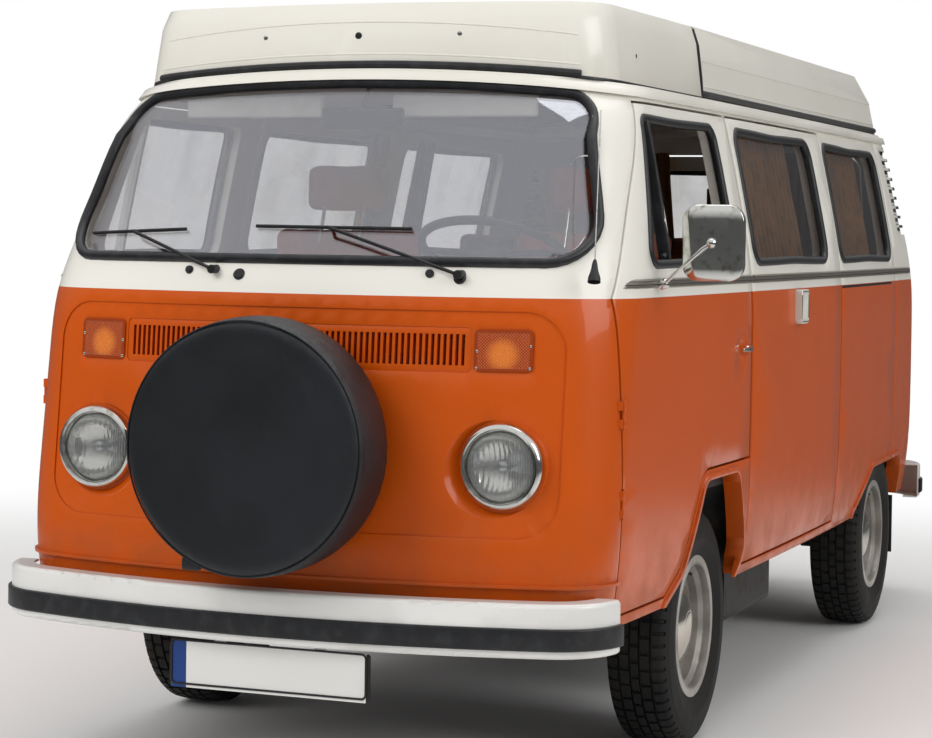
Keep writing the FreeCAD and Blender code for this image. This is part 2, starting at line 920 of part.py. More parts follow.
# Roof tray, tilting roof and their rubber seals
tray_levels = sized(tray_level_shares, (tray_top, tray_reach, tray_half, tray_corner))
pop_levels = sized(pop_level_shares, (pop_top_level, pop_half, pop_rear))


def tray_form(inset):
    wires = []
    for z, reach, half, corner in tray_levels:
        wires.append(level_wire(z, reach, half, tray_form_rear, corner, bumper_corner, inset))
    return Part.makeLoft(wires, True, True)


def pop_form(inset, corner):
    """The tilting roof's form, shrunk inward by inset."""
    wires = []
    for z, half, rear in pop_levels:
        x = half - inset
        y0 = pop_front + inset
        y1 = rear - inset
        points = [V(-x, y0, z), V(x, y0, z), V(x, y1, z), V(-x, y1, z)]
        wires.append(flat_face(points, corner).OuterWire)
    return Part.makeLoft(wires, True, True)


crown = crown_form(0)
seal_top = crown_form(-gasket)
tray_outer = tray_form(0)
tray_inner = tray_form(tray_skin)
tray_rim = tray_outer.cut(tray_inner)
tray = tray_outer.cut(tray_inner.cut(crown_form(-gasket - tray_skin))).cut(seal_top)
tray_end = box(-far, far, tray_rear, far, 0, far)
tray_wall = box(-far, far, tray_rear - tray_skin, tray_rear, 0, tray_levels[1][0])
tray_wall = tray_outer.common(tray_wall).cut(seal_top)
nodes["roof_tray"] = joined([tray.cut(tray_end), tray_wall])
pop_outer = pop_form(0, pop_corner + pop_skin)
pop_inner = pop_form(pop_skin, pop_corner)
pop_inner = pop_inner.common(box(-far, far, 0, far, 0, pop_top_level - pop_skin))
pop_shell = pop_outer.cut(pop_inner)
pop_top = pop_shell.cut(seal_top)
pop_seal = pop_shell.common(crown_form(gasket_gap - gasket)).cut(crown)
tray_seal = tray_rim.common(seal_top).cut(crown).cut(tray_end)
gap_seal = tray_rim.common(box(-far, far, tray_rear, tray_rear + gap_seal_depth, 0, far))
nodes["roof_gaskets"] = Part.makeCompound([pop_seal, tray_seal, gap_seal.cut(seal_top)])
roof_panel = roof_layer.cut(box(-hole_half, hole_half, hole_front, hole_rear, 0, far))
gutter = body_form(-gutter_reach).common(crown_form(gutter_depth - gutter_height))
roof_panel = joined([roof_panel, gutter.cut(crown_form(gutter_depth)).cut(outer)])
pop_axis = V(0, pop_rear + pop_hinge_behind, pop_hinge_level)
for x in (-lid_hinge_x, lid_hinge_x):
    start = pop_axis + V(x - hinge_leaf * 1.5, 0, 0)
    steps = [start + outward * (hinge_leaf * index) for index in range(4)]
    for low, high in ((steps[0], steps[1]), (steps[2], steps[3])):
        foot = V(0, hinge_barrel / 2, roof_edge_level - pop_hinge_level)
        post = block(low - V(0, hinge_barrel / 2, 0), high + foot).cut(roof_under)
        roof_panel = joined([roof_panel, rod(low, high, hinge_barrel), post])
    low = steps[1] + outward * hinge_play
    high = steps[2] - outward * hinge_play
    leaf = block(low - V(0, pop_leaf_depth, pop_leaf_half), high + V(0, 0, pop_leaf_half))
    pop_top = joined([pop_top, rod(low, high, hinge_barrel), leaf.cut(pop_inner)])
nodes["roof_panel"] = roof_panel
nodes["pop_top"] = pop_top


def sleeve_form(out):
    """Upright block round the roof's hole, out wider on each side."""
    return box(-hole_half - out, hole_half + out, hole_front - out, hole_rear + out, 0, far)


fabric = sleeve_form(fabric_gap + fabric_width).cut(sleeve_form(fabric_gap))
nodes["tent_fabric"] = fabric.common(crown_form(-fabric_height)).cut(crown)

# Floor: plates at their levels, with front and rear wheel housings and two long rails
box_rear = seat_box_rear + floor_skin
box_low = seat_box_level - floor_skin
plates = [
    (floor_front, seat_box_front, rail_top, floor_level),
    (seat_box_front - floor_skin, seat_box_front, rail_top, seat_box_level),
    (seat_box_front - floor_skin, box_rear, box_low, seat_box_level),
    (seat_box_rear, box_rear, rail_top, seat_box_level),
    (seat_box_rear, deck_front, rail_top, floor_level),
    (deck_front, deck_front + floor_skin, rail_top, deck_level),
    (deck_front, deck_rear, deck_level - floor_skin, deck_level),
]
floor = joined([box(-far, far, *plate).common(inner) for plate in plates])
front_room = disc(0, hub_level, housing_radius, housing_inner, far)
front_room = front_room.common(box(0, far, -far, far, 0, box_low))
front_house = disc(0, hub_level, housing_radius + housing_skin, housing_inner - housing_skin, far)
front_house = front_house.common(box(0, far, -far, far, rail_top, box_low))
rear_room = disc(wheelbase, hub_level, rear_housing_radius, rear_housing_inner, far)
rear_house_radius = rear_housing_radius + housing_skin
rear_house = disc(wheelbase, hub_level, rear_house_radius, rear_housing_inner - housing_skin, far)
rear_house = rear_house.common(box(0, far, 0, far, rail_top, deck_level))
houses = both(front_house.common(inner)) + both(rear_house.common(inner))
floor = floor.fuse(houses).cut(both(front_room) + both(rear_room))
rail = box(rail_inner, rail_outer, rail_front, rail_rear, rail_low, rail_top)
front_hanger = box(rail_inner, rail_outer, -bumper_reach, rail_front, hanger_low, rail_top)
rear_hanger = box(rail_inner, rail_outer, rail_rear, rear_bumper_reach, hanger_low, rail_top)
hangers = [main_solid(piece.cut(ring)) for piece in both(front_hanger) + both(rear_hanger)]
nodes["floor_pan"] = main_solid(joined([floor] + [piece.cut(shell) for piece in both(rail)] + hangers))
nodes["floor_mat"] = box(-mat_right, mat_left, mat_front, mat_rear, floor_level, floor_level + mat_depth)

# Engine, exhaust and tank
engine = box(-engine_half, engine_half, engine_front, engine_rear, engine_low, engine_high)
nodes["engine"] = engine.cut(both(rail))
muffler_end = V(muffler_half, muffler_middle, muffler_level)
muffler = rod(flipped_point(muffler_end), muffler_end, muffler_diameter)
pipe_start = V(-tail_pipe_x, muffler_middle, muffler_level)
pipe_end = V(-tail_pipe_x, tail_pipe_reach, tail_pipe_level)
strap_top = engine_low + muffler_strap_height
strap = box(-muffler_strap_half, muffler_strap_half, engine_rear, muffler_middle, engine_low, strap_top)
nodes["exhaust"] = joined([muffler, rod(pipe_start, pipe_end, tail_pipe_diameter), strap])
tank_outline = four(tank_inner, tank_outer, tank_low, rail_top + tank_round)
tank = front_prism(tank_outline, tank_front, tank_rear, tank_round)
nodes["under_floor_tank"] = tank.common(box(0, far, 0, far, 0, rail_top))

# Front axle: two cross tubes clamped to the rails, with arms to the king pins' eyes
tube_high = rail_low - axle_tube_diameter / 2 - rail_clearance
tube_low = tube_high - axle_tube_spacing
tube_end = kingpin_offset - axle_tube_inset
eye_low = hub_level - kingpin_height / 2
eye_high = hub_level + kingpin_height / 2 - eye_height
clamp_front = -axle_tube_setback - axle_clamp_depth / 2
clamp_rear = clamp_front + axle_clamp_depth
axle_pieces = both(box(rail_inner, rail_outer, clamp_front, clamp_rear, tube_low, rail_low))
knuckle_low = V(kingpin_offset, 0, eye_low + eye_height)
knuckle_high = V(kingpin_offset, 0, eye_high)
knuckle_room = rod(knuckle_low, knuckle_high, eye_diameter + 2 * eye_gap)
for tube_level, eye_level in ((tube_low, eye_low), (tube_high, eye_high)):
    end = V(tube_end, -axle_tube_setback, tube_level)
    axle_pieces.append(rod(flipped_point(end), end, axle_tube_diameter))
    eye = Part.makeCylinder(eye_diameter / 2, eye_height, V(kingpin_offset, 0, eye_level))
    arm_end = V(kingpin_offset, 0, eye_level + eye_height / 2)
    arm = rod(end - outward * arm_sink, arm_end, arm_diameter)
    axle_pieces += both(eye.fuse(arm.cut(knuckle_room)))
pin_bore = Part.makeCylinder(kingpin_diameter / 2 + bore_clearance, far, V(kingpin_offset, 0, 0))
nodes["front_axle"] = joined(axle_pieces).cut(both(pin_bore))

# Knuckles: king pin, body and wheel spindle
pin_low = V(kingpin_offset, 0, eye_low)
pin_high = V(kingpin_offset, 0, eye_high + eye_height)
body_low = knuckle_low + upward * eye_gap
body_high = knuckle_high - upward * eye_gap
spindle_start = V(kingpin_offset, 0, hub_level)
spindle_end = V(track_front / 2 + stub_overrun, 0, hub_level)
knuckle = [rod(pin_low, pin_high, kingpin_diameter), rod(body_low, body_high, eye_diameter)]
knuckle = joined(knuckle + [rod(spindle_start, spindle_end, shaft_diameter)])
nodes["knuckle_left"] = knuckle
nodes["knuckle_right"] = flipped(knuckle)

# Rear axle: gearbox, wheel shafts in their carriers, swing arms and hangers
gearbox = box(-gearbox_half, gearbox_half, gearbox_front, engine_front, gearbox_low, gearbox_high)
shaft_end = V(track_rear / 2 + stub_overrun, wheelbase, hub_level)
shaft = rod(V(gearbox_half / 2, wheelbase, hub_level), shaft_end, shaft_diameter)
carrier = disc(wheelbase, hub_level, carrier_diameter / 2, carrier_inner, carrier_inner + carrier_width)
swing_start = V((rail_inner + rail_outer) / 2, swing_front, swing_level)
swing_end = V(carrier_inner + carrier_width / 2, wheelbase, hub_level)
swing = rod(swing_start, swing_end, swing_diameter)
hanger_front = swing_front - hanger_depth / 2
hanger_rear = swing_front + hanger_depth / 2
hanger_foot = swing_level - swing_diameter / 2
hanger = box(rail_inner, rail_outer, hanger_front, hanger_rear, hanger_foot, rail_low)
rear_pieces = both(shaft) + both(carrier) + both(swing) + both(hanger)
nodes["rear_axle"] = joined([gearbox] + rear_pieces)

# Wheels and tyres, turned from half sections of (radius, offset)
seat_radius = rim_diameter / 2
flange_radius = seat_radius + rim_flange
barrel = seat_radius - rim_wall
half_rim = rim_width / 2
rim_face = half_rim + rim_wall
half_tyre = tyre_width / 2
hub_radius = hub_diameter / 2
bore_radius = shaft_diameter / 2 + bore_clearance
cap_radius = hubcap_diameter / 2
disc_step = barrel - rim_step_height
groove_radius = (cap_radius + disc_step) / 2


def turned(path, centre, side):
    """Solid turned about the wheel's axis; a third value marks a point inside an arc."""
    points = [V(centre.x + side * point[1], centre.y, centre.z + point[0]) for point in path]
    count = len(path)
    edges = []
    for index in range(count):
        following = (index + 1) % count
        if len(path[following]) > 2:
            last = points[(index + 2) % count]
            edges.append(Part.Arc(points[index], points[following], last).toShape())
        elif len(path[index]) == 2:
            edges.append(Part.makeLine(points[index], points[following]))
    return Part.Face(Part.Wire(edges)).revolve(centre, outward, 360)


rim_path = [
    (seat_radius, -half_rim),
    (flange_radius, -half_rim),
    (flange_radius, -rim_face),
    (barrel, -rim_face),
    (barrel, wheel_disc_inner),
    (hub_radius, wheel_disc_inner),
    (hub_radius, -hub_length),
    (bore_radius, -hub_length),
    (bore_radius, hubcap_seat),
    (0, hubcap_seat),
    (0, hubcap_crown),
    (cap_radius / 2, hubcap_shoulder, "arc"),
    (cap_radius, hubcap_edge),
    (cap_radius, wheel_disc_outer),
    (groove_radius, wheel_disc_bead),
    (disc_step, wheel_disc_outer),
    (disc_step, rim_step_offset),
    (barrel, rim_step_offset + rim_step_height),
    (barrel, rim_face),
    (flange_radius, rim_face),
    (flange_radius, half_rim),
    (seat_radius, half_rim),
]
bead_radius = flange_radius + tyre_bead_gap
bulge_radius = flange_radius + tyre_wall_high
edge_radius = tyre_radius - tyre_shoulder
tyre_side = [
    (seat_radius, half_rim),
    (bead_radius, half_rim),
    (bead_radius, rim_face),
    (flange_radius + tyre_wall_low, half_tyre - tyre_wall_round),
    (bulge_radius, half_tyre),
    (edge_radius, half_tyre - tyre_shoulder_width),
    (tyre_radius - tyre_crown, half_tyre - tyre_crown_width),
]
inner_side = [(radius, -offset) for radius, offset in tyre_side]
tyre_path = inner_side + [(tyre_radius, 0)] + tyre_side[::-1]
wheel_places = [
    ("front_left", track_front / 2, 0, 1),
    ("front_right", -track_front / 2, 0, -1),
    ("rear_left", track_rear / 2, wheelbase, 1),
    ("rear_right", -track_rear / 2, wheelbase, -1),
]
for name, x, y, side in wheel_places:
    centre = V(x, y, hub_level)
    nodes["wheel_" + name] = turned(rim_path, centre, side)
    nodes["tyre_" + name] = turned(tyre_path, centre, side)

# Front seats: a cushion and a leaning back, each with a head restraint on two posts
seat_top = seat_box_level + seat_thickness
back_foot = seat_front + seat_depth
back_high = seat_top + seat_back_height
back_lean = seat_back_lean_share * seat_back_height
seat_left = seat_middle - seat_width / 2
seat_right = seat_middle + seat_width / 2
cushion_outline = four(seat_front, back_foot + seat_back_thickness / 2, seat_box_level, seat_top)
back_outline = [
    (back_foot, seat_box_level),
    (back_foot + back_lean, back_high),
    (back_foot + back_lean + seat_back_thickness, back_high),
    (back_foot + seat_back_thickness, seat_box_level),
]
rest_low = back_high + rest_gap
rest_front = back_foot + back_lean
rest_rear = rest_front + rest_thickness
rest_outline = four(rest_front, rest_rear, rest_low, rest_low + rest_height)
rest_left = seat_middle - rest_width / 2
rest_right = seat_middle + rest_width / 2
post_y = rest_front + rest_thickness / 2
post_bottom = back_high - rest_gap
seat = [
    side_prism(cushion_outline, seat_left, seat_right, seat_round),
    side_prism(back_outline, seat_left, seat_right, seat_round),
    side_prism(rest_outline, rest_left, rest_right, rest_round),
]
for x in (seat_middle - rest_width / 4, seat_middle + rest_width / 4):
    seat.append(rod(V(x, post_y, post_bottom), V(x, post_y, rest_low + rest_gap), rest_post_diameter))
nodes["front_seats"] = Part.makeCompound(both(joined(seat)))

# Dashboard, steering column and steering wheel
wheel_hub = V(seat_middle, -steering_hub_y, steering_hub_level)
column_foot = V(seat_middle, -column_foot_y, column_foot_level)
column_end = V(seat_middle, -column_end_y, floor_level)
column_axis = (wheel_hub - column_foot).normalize()
lower_axis = (column_end - column_foot).normalize()
lower_column = rod(column_foot, column_end + lower_axis * column_diameter, column_diameter)
lower_column = lower_column.cut(box(-far, far, -far, 0, 0, floor_level))
dash_outline = four(-far, -dash_reach, dash_low, dash_high)
dash = side_prism(dash_outline, -far, far, dash_round)
dash_end = box(-far, far, -far, door_front - seam, 0, far).common(inner)
dash = joined([dash.common(dash_end), dash.common(body_form(wall + dash_door_gap))])
bracket_left = seat_middle - bracket_width / 2
bracket_right = seat_middle + bracket_width / 2
bracket_front = -dash_reach - dash_round
column_bracket = box(bracket_left, bracket_right, bracket_front, -bracket_reach, dash_low, bracket_high)
column = rod(column_foot, wheel_hub, column_diameter)
hub_seat = wheel_hub - column_axis * column_gap
hub_room = Part.makeCylinder(column_room / 2, steering_diameter, hub_seat, column_axis)
nodes["dashboard"] = joined([dash, column, column_bracket, lower_column]).cut(hub_room)
grip_radius = steering_diameter / 2 - steering_grip / 2
grip_middle = wheel_hub + column_axis * steering_rise
grip = Part.makeTorus(grip_radius, steering_grip / 2, grip_middle, column_axis)
hub_start = hub_seat + column_axis * bore_clearance
hub = Part.makeCylinder(steering_hub / 2, steering_hub_length, hub_start, column_axis)
spoke_start = wheel_hub + column_axis * spoke_rise
spokes = [rod(spoke_start, grip_middle + outward * x, spoke_diameter) for x in (-grip_radius, grip_radius)]
nodes["steering_wheel"] = joined([grip, hub] + spokes)

# Living space: kitchen with its worktop, wardrobe, bench box, cushions and mattress
kitchen_top = kitchen_high - worktop
kitchen = box(-far, -kitchen_inner, kitchen_front, kitchen_rear, floor_level, kitchen_top)
top_front = kitchen_front - worktop_lip
top_rear = kitchen_rear + worktop_lip
top_plate = box(-far, worktop_lip - kitchen_inner, top_front, top_rear, kitchen_top, kitchen_high)
wardrobe_rear = deck_front - cabinet_gap
wardrobe = box(wardrobe_inner, far, wardrobe_front, wardrobe_rear, floor_level, wardrobe_high)
bench_rear = deck_front - cabinet_gap
bench_top = bench_level - cushion_height
bench_box = box(-bench_right, bench_left, bench_front, bench_rear, floor_level, bench_top)
cabinets = [joined([kitchen, top_plate]).common(inner), wardrobe.common(inner), bench_box]
nodes["cabinets"] = Part.makeCompound(cabinets)
back_front = bench_rear - cushion_height
bench_cushion = four(bench_front, back_front - cabinet_gap, bench_top, bench_level)
back_cushion = four(back_front, bench_rear, bench_top, bench_back_level)
mattress = four(deck_front + cabinet_gap, mattress_rear, deck_level, deck_level + mattress_height)
cushions = [
    side_prism(bench_cushion, -bench_right, bench_left, cushion_round),
    side_prism(back_cushion, -bench_right, bench_left, cushion_round),
    side_prism(mattress, -mattress_half, mattress_half, cushion_round),
]
nodes["rear_bench"] = Part.makeCompound(cushions)

# Wipers: a stem through the panel, an arm and a blade that follows the glass
blade_lift = wiper_rod / 2 + wiper_gap
wipers = []
for row in wiper_shares:
    places = [(x * screen_half_low, z * screen_low) for x, z in row]
    (pivot_x, pivot_z), (start_x, start_z), (end_x, end_z) = places
    pivot = V(pivot_x, front_of(outer, pivot_x, pivot_z), pivot_z)
    stem = rod(pivot + behind * wiper_stem, pivot + ahead * wiper_stem_out, wiper_stem).cut(outer)
    steps = []
    for index in range(blade_parts + 1):
        share = index / blade_parts
        x = start_x + share * (end_x - start_x)
        z = start_z + share * (end_z - start_z)
        steps.append(V(x, front_of(pane_form, x, z) - blade_lift, z))
    blade = [rod(start, end, wiper_rod) for start, end in zip(steps, steps[1:])]
    middle = steps[blade_parts // 2]
    raised = middle + ahead * wiper_arm_rise
    arm = rod(pivot + ahead * wiper_arm_out, raised, wiper_rod)
    wipers.append(joined([stem, arm, rod(raised, middle, wiper_rod)] + blade))
nodes["wipers"] = Part.makeCompound(wipers)

# Door mirror on its arm, door handles and the outside connection's cover
mirror_foot = V(side_of(outer, -mirror_foot_y, mirror_foot_level), -mirror_foot_y, mirror_foot_level)
mirror_left = mirror_out - mirror_width / 2
mirror_right = mirror_out + mirror_width / 2
mirror_low = mirror_level - mirror_height / 2
mirror_outline = four(mirror_left, mirror_right, mirror_low, mirror_low + mirror_height)
mirror_front = -mirror_reach - mirror_depth / 2
mirror_head = front_prism(mirror_outline, mirror_front, mirror_front + mirror_depth, mirror_round)
arm_end = V(mirror_out, -mirror_reach, mirror_low + mirror_round)
foot_out = outward * mirror_foot_out
foot = rod(mirror_foot - foot_out, mirror_foot + foot_out, mirror_foot_diameter)
arm = rod(mirror_foot, arm_end, mirror_arm)
nodes["door_mirror"] = joined([mirror_head, foot.fuse(arm).cut(outer)])
handle_outline = four(handle_middle - handle_length / 2, handle_middle + handle_length / 2,
                      handle_level - handle_height / 2, handle_level + handle_height / 2)
handle_out_x = handle_side + handle_out
lever = side_prism(handle_outline, handle_side + handle_gap, handle_out_x, handle_round)
boss_start = handle_middle + handle_boss_start
boss_outline = four(boss_start, boss_start + handle_boss_width,
                    handle_level - handle_height / 2, handle_level + handle_height / 2)
boss = side_prism(boss_outline, handle_side - handle_gap, handle_out_x, handle_round).cut(outer)
handle = joined([lever, boss])
nodes["door_handle_left"] = handle
nodes["door_handle_right"] = flipped(handle)
hookup_side = side_of(outer, hookup_middle, hookup_level)
hookup_half = hookup_size / 2
hookup_outline = four(hookup_middle - hookup_half, hookup_middle + hookup_half,
                      hookup_level - hookup_half, hookup_level + hookup_half)
hookup = side_prism(hookup_outline, hookup_side - hookup_depth, hookup_side + hookup_depth, hookup_round)
nodes["hookup_cover"] = hookup.cut(outer)

# Blank number plates and mud flaps
plate_half = plate_length / 2
plate_low = plate_level - plate_height / 2
plate_back = plate_depth - plate_reach
front_outline = four(-plate_half, plate_half, plate_low, plate_low + plate_height)
front_plate = front_prism(front_outline, -plate_reach, plate_back, plate_round)
plate_strap = box(strap_inner, strap_outer, plate_back, plate_back + strap_depth, plate_level, bumper_low)
nodes["plate_front"] = joined([front_plate] + both(plate_strap))
rear_low = rear_plate_level - plate_height / 2
rear_outline = four(-plate_half, plate_half, rear_low, rear_low + plate_height)
nodes["plate_rear"] = front_prism(rear_outline, rear_split, rear_plate_reach, plate_round).cut(outer)
flap = box(flap_inner, flap_outer, flap_front, flap_front + flap_depth, flap_low, rail_top)
nodes["mud_flaps"] = Part.makeCompound(both(flap))

# Each piece is written with the whole part's length centred on the origin
middle_y = (rear_bumper_reach + strip_out - spare_reach) / 2
for name, shape in nodes.items():
    shape.translated(V(0, -middle_y, 0)).exportStep("parts/" + name + ".step")
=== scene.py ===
import json
import math

import bmesh
import bpy
from mathutils import Matrix, Vector
from mathutils.bvhtree import BVHTree

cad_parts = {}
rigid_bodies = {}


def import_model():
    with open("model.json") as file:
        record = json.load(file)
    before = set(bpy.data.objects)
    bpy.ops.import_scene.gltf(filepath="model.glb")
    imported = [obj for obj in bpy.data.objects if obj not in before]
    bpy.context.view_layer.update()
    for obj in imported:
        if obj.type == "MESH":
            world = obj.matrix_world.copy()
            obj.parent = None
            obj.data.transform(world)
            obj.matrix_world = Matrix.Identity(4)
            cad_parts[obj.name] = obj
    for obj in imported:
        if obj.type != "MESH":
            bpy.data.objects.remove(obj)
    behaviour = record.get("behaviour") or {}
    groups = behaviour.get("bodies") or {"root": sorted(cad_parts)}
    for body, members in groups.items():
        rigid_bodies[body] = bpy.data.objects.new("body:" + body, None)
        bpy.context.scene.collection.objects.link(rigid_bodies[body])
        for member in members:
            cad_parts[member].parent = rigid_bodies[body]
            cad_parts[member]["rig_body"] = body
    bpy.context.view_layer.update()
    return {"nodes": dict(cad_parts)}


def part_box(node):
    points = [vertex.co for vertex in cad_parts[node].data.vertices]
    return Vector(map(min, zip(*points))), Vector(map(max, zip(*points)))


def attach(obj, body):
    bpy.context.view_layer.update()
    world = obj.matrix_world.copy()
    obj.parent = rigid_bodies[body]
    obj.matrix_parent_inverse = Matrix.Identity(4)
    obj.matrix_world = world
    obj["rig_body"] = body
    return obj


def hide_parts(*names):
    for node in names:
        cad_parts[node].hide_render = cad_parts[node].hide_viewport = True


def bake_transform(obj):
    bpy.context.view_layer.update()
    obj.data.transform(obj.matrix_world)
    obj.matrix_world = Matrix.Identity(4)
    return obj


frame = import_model()
nodes = frame["nodes"]

# The camera stands ahead of the van's left front corner, at the height of a person's chest,
# and looks at it a little downwards, as it was photographed.
camera = bpy.data.objects.new("camera", bpy.data.cameras.new("camera"))
bpy.context.scene.collection.objects.link(camera)
bpy.context.scene.camera = camera
yaw, pitch, roll = 0.3871, 0.0257, 0.0135
focal_pixels, centre_pixel = 2506.2, (378.14, 295.25)
photo_width, photo_height = 932, 738
look = Vector((-math.sin(yaw) * math.cos(pitch), math.cos(yaw) * math.cos(pitch), -math.sin(pitch)))
level_right = Vector((math.cos(yaw), math.sin(yaw), 0))
level_up = level_right.cross(look)
right = level_right * math.cos(roll) + level_up * math.sin(roll)
up = level_up * math.cos(roll) - level_right * math.sin(roll)
turn = Matrix((right, up, -look)).transposed()
camera.matrix_world = Matrix.Translation((2.5558, -7.7587, 1.4019)) @ turn.to_4x4()
camera.data.sensor_width = 36
camera.data.lens = focal_pixels * camera.data.sensor_width / photo_width
camera.data.shift_x = (photo_width / 2 - centre_pixel[0]) / photo_width
camera.data.shift_y = (centre_pixel[1] - photo_height / 2) / photo_width


# The van stands on a pale studio floor that fades into a white backdrop. Finishes, here and
# below, are trees of shader nodes, and sums on a Socket add the nodes that work them out.
class Socket:
    def __init__(self, tree, link):
        self.tree, self.link = tree, link

    def maths(self, operation, *values):
        return self.tree.node("ShaderNodeMath", {"operation": operation}, dict(enumerate(values)))

    def __add__(self, other):
        return self.maths("ADD", self, other)

    def __radd__(self, other):
        return self.maths("ADD", other, self)

    def __sub__(self, other):
        return self.maths("SUBTRACT", self, other)

    def __rsub__(self, other):
        return self.maths("SUBTRACT", other, self)

    def __mul__(self, other):
        return self.maths("MULTIPLY", self, other)

    def __rmul__(self, other):
        return self.maths("MULTIPLY", other, self)

    def __abs__(self):
        return self.maths("ABSOLUTE", self)

    def wave(self, length):
        return self.maths("SINE", self * (2 * math.pi / length))

    def step(self, low, high):
        inputs = {"Value": self, "From Min": low, "From Max": high}
        return self.tree.node("ShaderNodeMapRange", {"interpolation_type": "SMOOTHSTEP"}, inputs)

    def band(self, low, high, soft):
        return self.step(low - soft, low + soft) - self.step(high - soft, high + soft)


class Nodes:
    def __init__(self, tree):
        self.tree = tree

    def node(self, kind, settings, inputs, output=0):
        made = self.tree.nodes.new(kind)
        for name, value in settings.items():
            setattr(made, name, value)
        for key, value in inputs.items():
            if isinstance(value, Socket):
                self.tree.links.new(value.link, made.inputs[key])
            else:
                made.inputs[key].default_value = value
        return Socket(self, made.outputs[output])

    def mix(self, share, first, second):
        return self.node("ShaderNodeMix", {"data_type": "RGBA"}, {0: share, 6: first, 7: second}, 2)


class Finish(Nodes):
    def __init__(self, name, **constants):
        self.material = bpy.data.materials.new(name)
        self.material.use_nodes = True
        super().__init__(self.material.node_tree)
        self.shader = self.tree.nodes["Principled BSDF"]
        for socket, value in constants.items():
            self.shader.inputs[socket.replace("_", " ")].default_value = value

    def place(self):
        return self.node("ShaderNodeTexCoord", {}, {}, "Object")

    def axis(self, name):
        return self.node("ShaderNodeSeparateXYZ", {}, {0: self.place()}, name)

    def noise(self, scale, detail=4.0, stretch=(1, 1, 1)):
        place = self.node("ShaderNodeMapping", {}, {"Vector": self.place(), "Scale": stretch})
        return self.node("ShaderNodeTexNoise", {}, {"Vector": place, "Scale": scale, "Detail": detail})

    def feed(self, name, source):
        self.tree.links.new(source.link, self.shader.inputs[name])

    def relief(self, height, strength, distance):
        inputs = {"Height": height, "Strength": strength, "Distance": distance}
        self.feed("Normal", self.node("ShaderNodeBump", {}, inputs))


def colour(red, green, blue):
    """The linear colour of three numbers from 0 to 255."""
    parts = [part / 255 for part in (red, green, blue)]
    return (*[p / 12.92 if p < 0.04 else ((p + 0.055) / 1.055) ** 2.4 for p in parts], 1)


ground = Finish("pale_ground", Base_Color=(0.86, 0.86, 0.85, 1), Roughness=0.9)
rays = ("Is Camera Ray", "Is Glossy Ray")
path = {name: ground.node("ShaderNodeLightPath", {}, {}, name) for name in rays}
distance = ground.node("ShaderNodeVectorMath", {"operation": "LENGTH"}, {0: ground.place()}, "Value")
away = distance.step(2.2, 6)
shares = {
    0: away * (path["Is Camera Ray"] + path["Is Glossy Ray"]),
    1: Socket(ground, ground.shader.outputs[0]),
    2: ground.node("ShaderNodeEmission", {}, {"Strength": path["Is Camera Ray"] * 0.88 + 0.12}),
}
surface = ground.node("ShaderNodeMixShader", {}, shares)
ground.tree.links.new(surface.link, ground.tree.nodes["Material Output"].inputs["Surface"])
ground_plan = bmesh.new()
bmesh.ops.create_grid(ground_plan, x_segments=1, y_segments=1, size=60)
ground_mesh = bpy.data.meshes.new("floor")
ground_plan.to_mesh(ground_mesh)
ground_mesh.materials.append(ground.material)
floor = bpy.data.objects.new("floor", ground_mesh)
bpy.context.scene.collection.objects.link(floor)

# The light is soft, as under an even sky: a large lamp high before the van's right front
# corner, a weaker one at its left, and the white surroundings, which are duller near the ground.
studio = bpy.data.worlds.new("studio")
bpy.context.scene.world = studio
studio.use_nodes = True
sky = Nodes(studio.node_tree)
seen, mirrored, passed = (
    sky.node("ShaderNodeLightPath", {}, {}, name)
    for name in ("Is Camera Ray", "Is Glossy Ray", "Is Transmission Ray")
)
direction = sky.node("ShaderNodeTexCoord", {}, {}, "Generated")
sky_height = sky.node("ShaderNodeSeparateXYZ", {}, {0: direction}, "Z")
shine = 0.10 + sky_height.step(0.05, 0.7) * 0.75
brightness = 0.42 + seen.maths("MAXIMUM", seen, passed) * 0.58 + mirrored * (shine - 0.42)
sky.tree.links.new(brightness.link, sky.tree.nodes["Background"].inputs["Strength"])
sky.tree.nodes["Background"].inputs["Color"].default_value = (1, 1, 1, 1)
for name, spot, size, power in (
    ("key", (-3.5, -8.5, 6.5), 6, 480),
    ("side", (8.5, -2.5, 5.0), 5, 270),
    ("top", (0.5, 1.5, 8.0), 6, 230),
):
    lamp = bpy.data.lights.new(name, "AREA")
    lamp.size, lamp.energy = size, power
    lamp_object = bpy.data.objects.new(name, lamp)
    bpy.context.scene.collection.objects.link(lamp_object)
    lamp_object.location = spot
    lamp_object.visible_glossy = name != "key"
    lamp_object.rotation_euler = (Vector((0, -0.3, 0.8)) - Vector(spot)).to_track_quat("-Z", "Y").to_euler()
bpy.context.scene.view_settings.view_transform = "Standard"


# The body is pressed steel panels welded into one shell: nose, sides, tail, doors and lids. It
# is sprayed in two colours that meet under the belt strip, with a gloss coat, and its colour is
# made darker and browner in patches towards the bottom.
def dress(names, finish, edge=0.0015):
    """Give solids of the frame a finish, and round their edges by edge."""
    for name in names:
        part = nodes[name]
        part.data.materials.clear()
        part.data.materials.append(finish.material)
        weld = part.modifiers.new("weld", "WELD")
        weld.merge_threshold = 0.00002
        if edge:
            bevel = part.modifiers.new("edges", "BEVEL")
            bevel.width, bevel.segments, bevel.harden_normals = edge, 2, True
            bevel.limit_method, bevel.angle_limit = "ANGLE", math.radians(40)


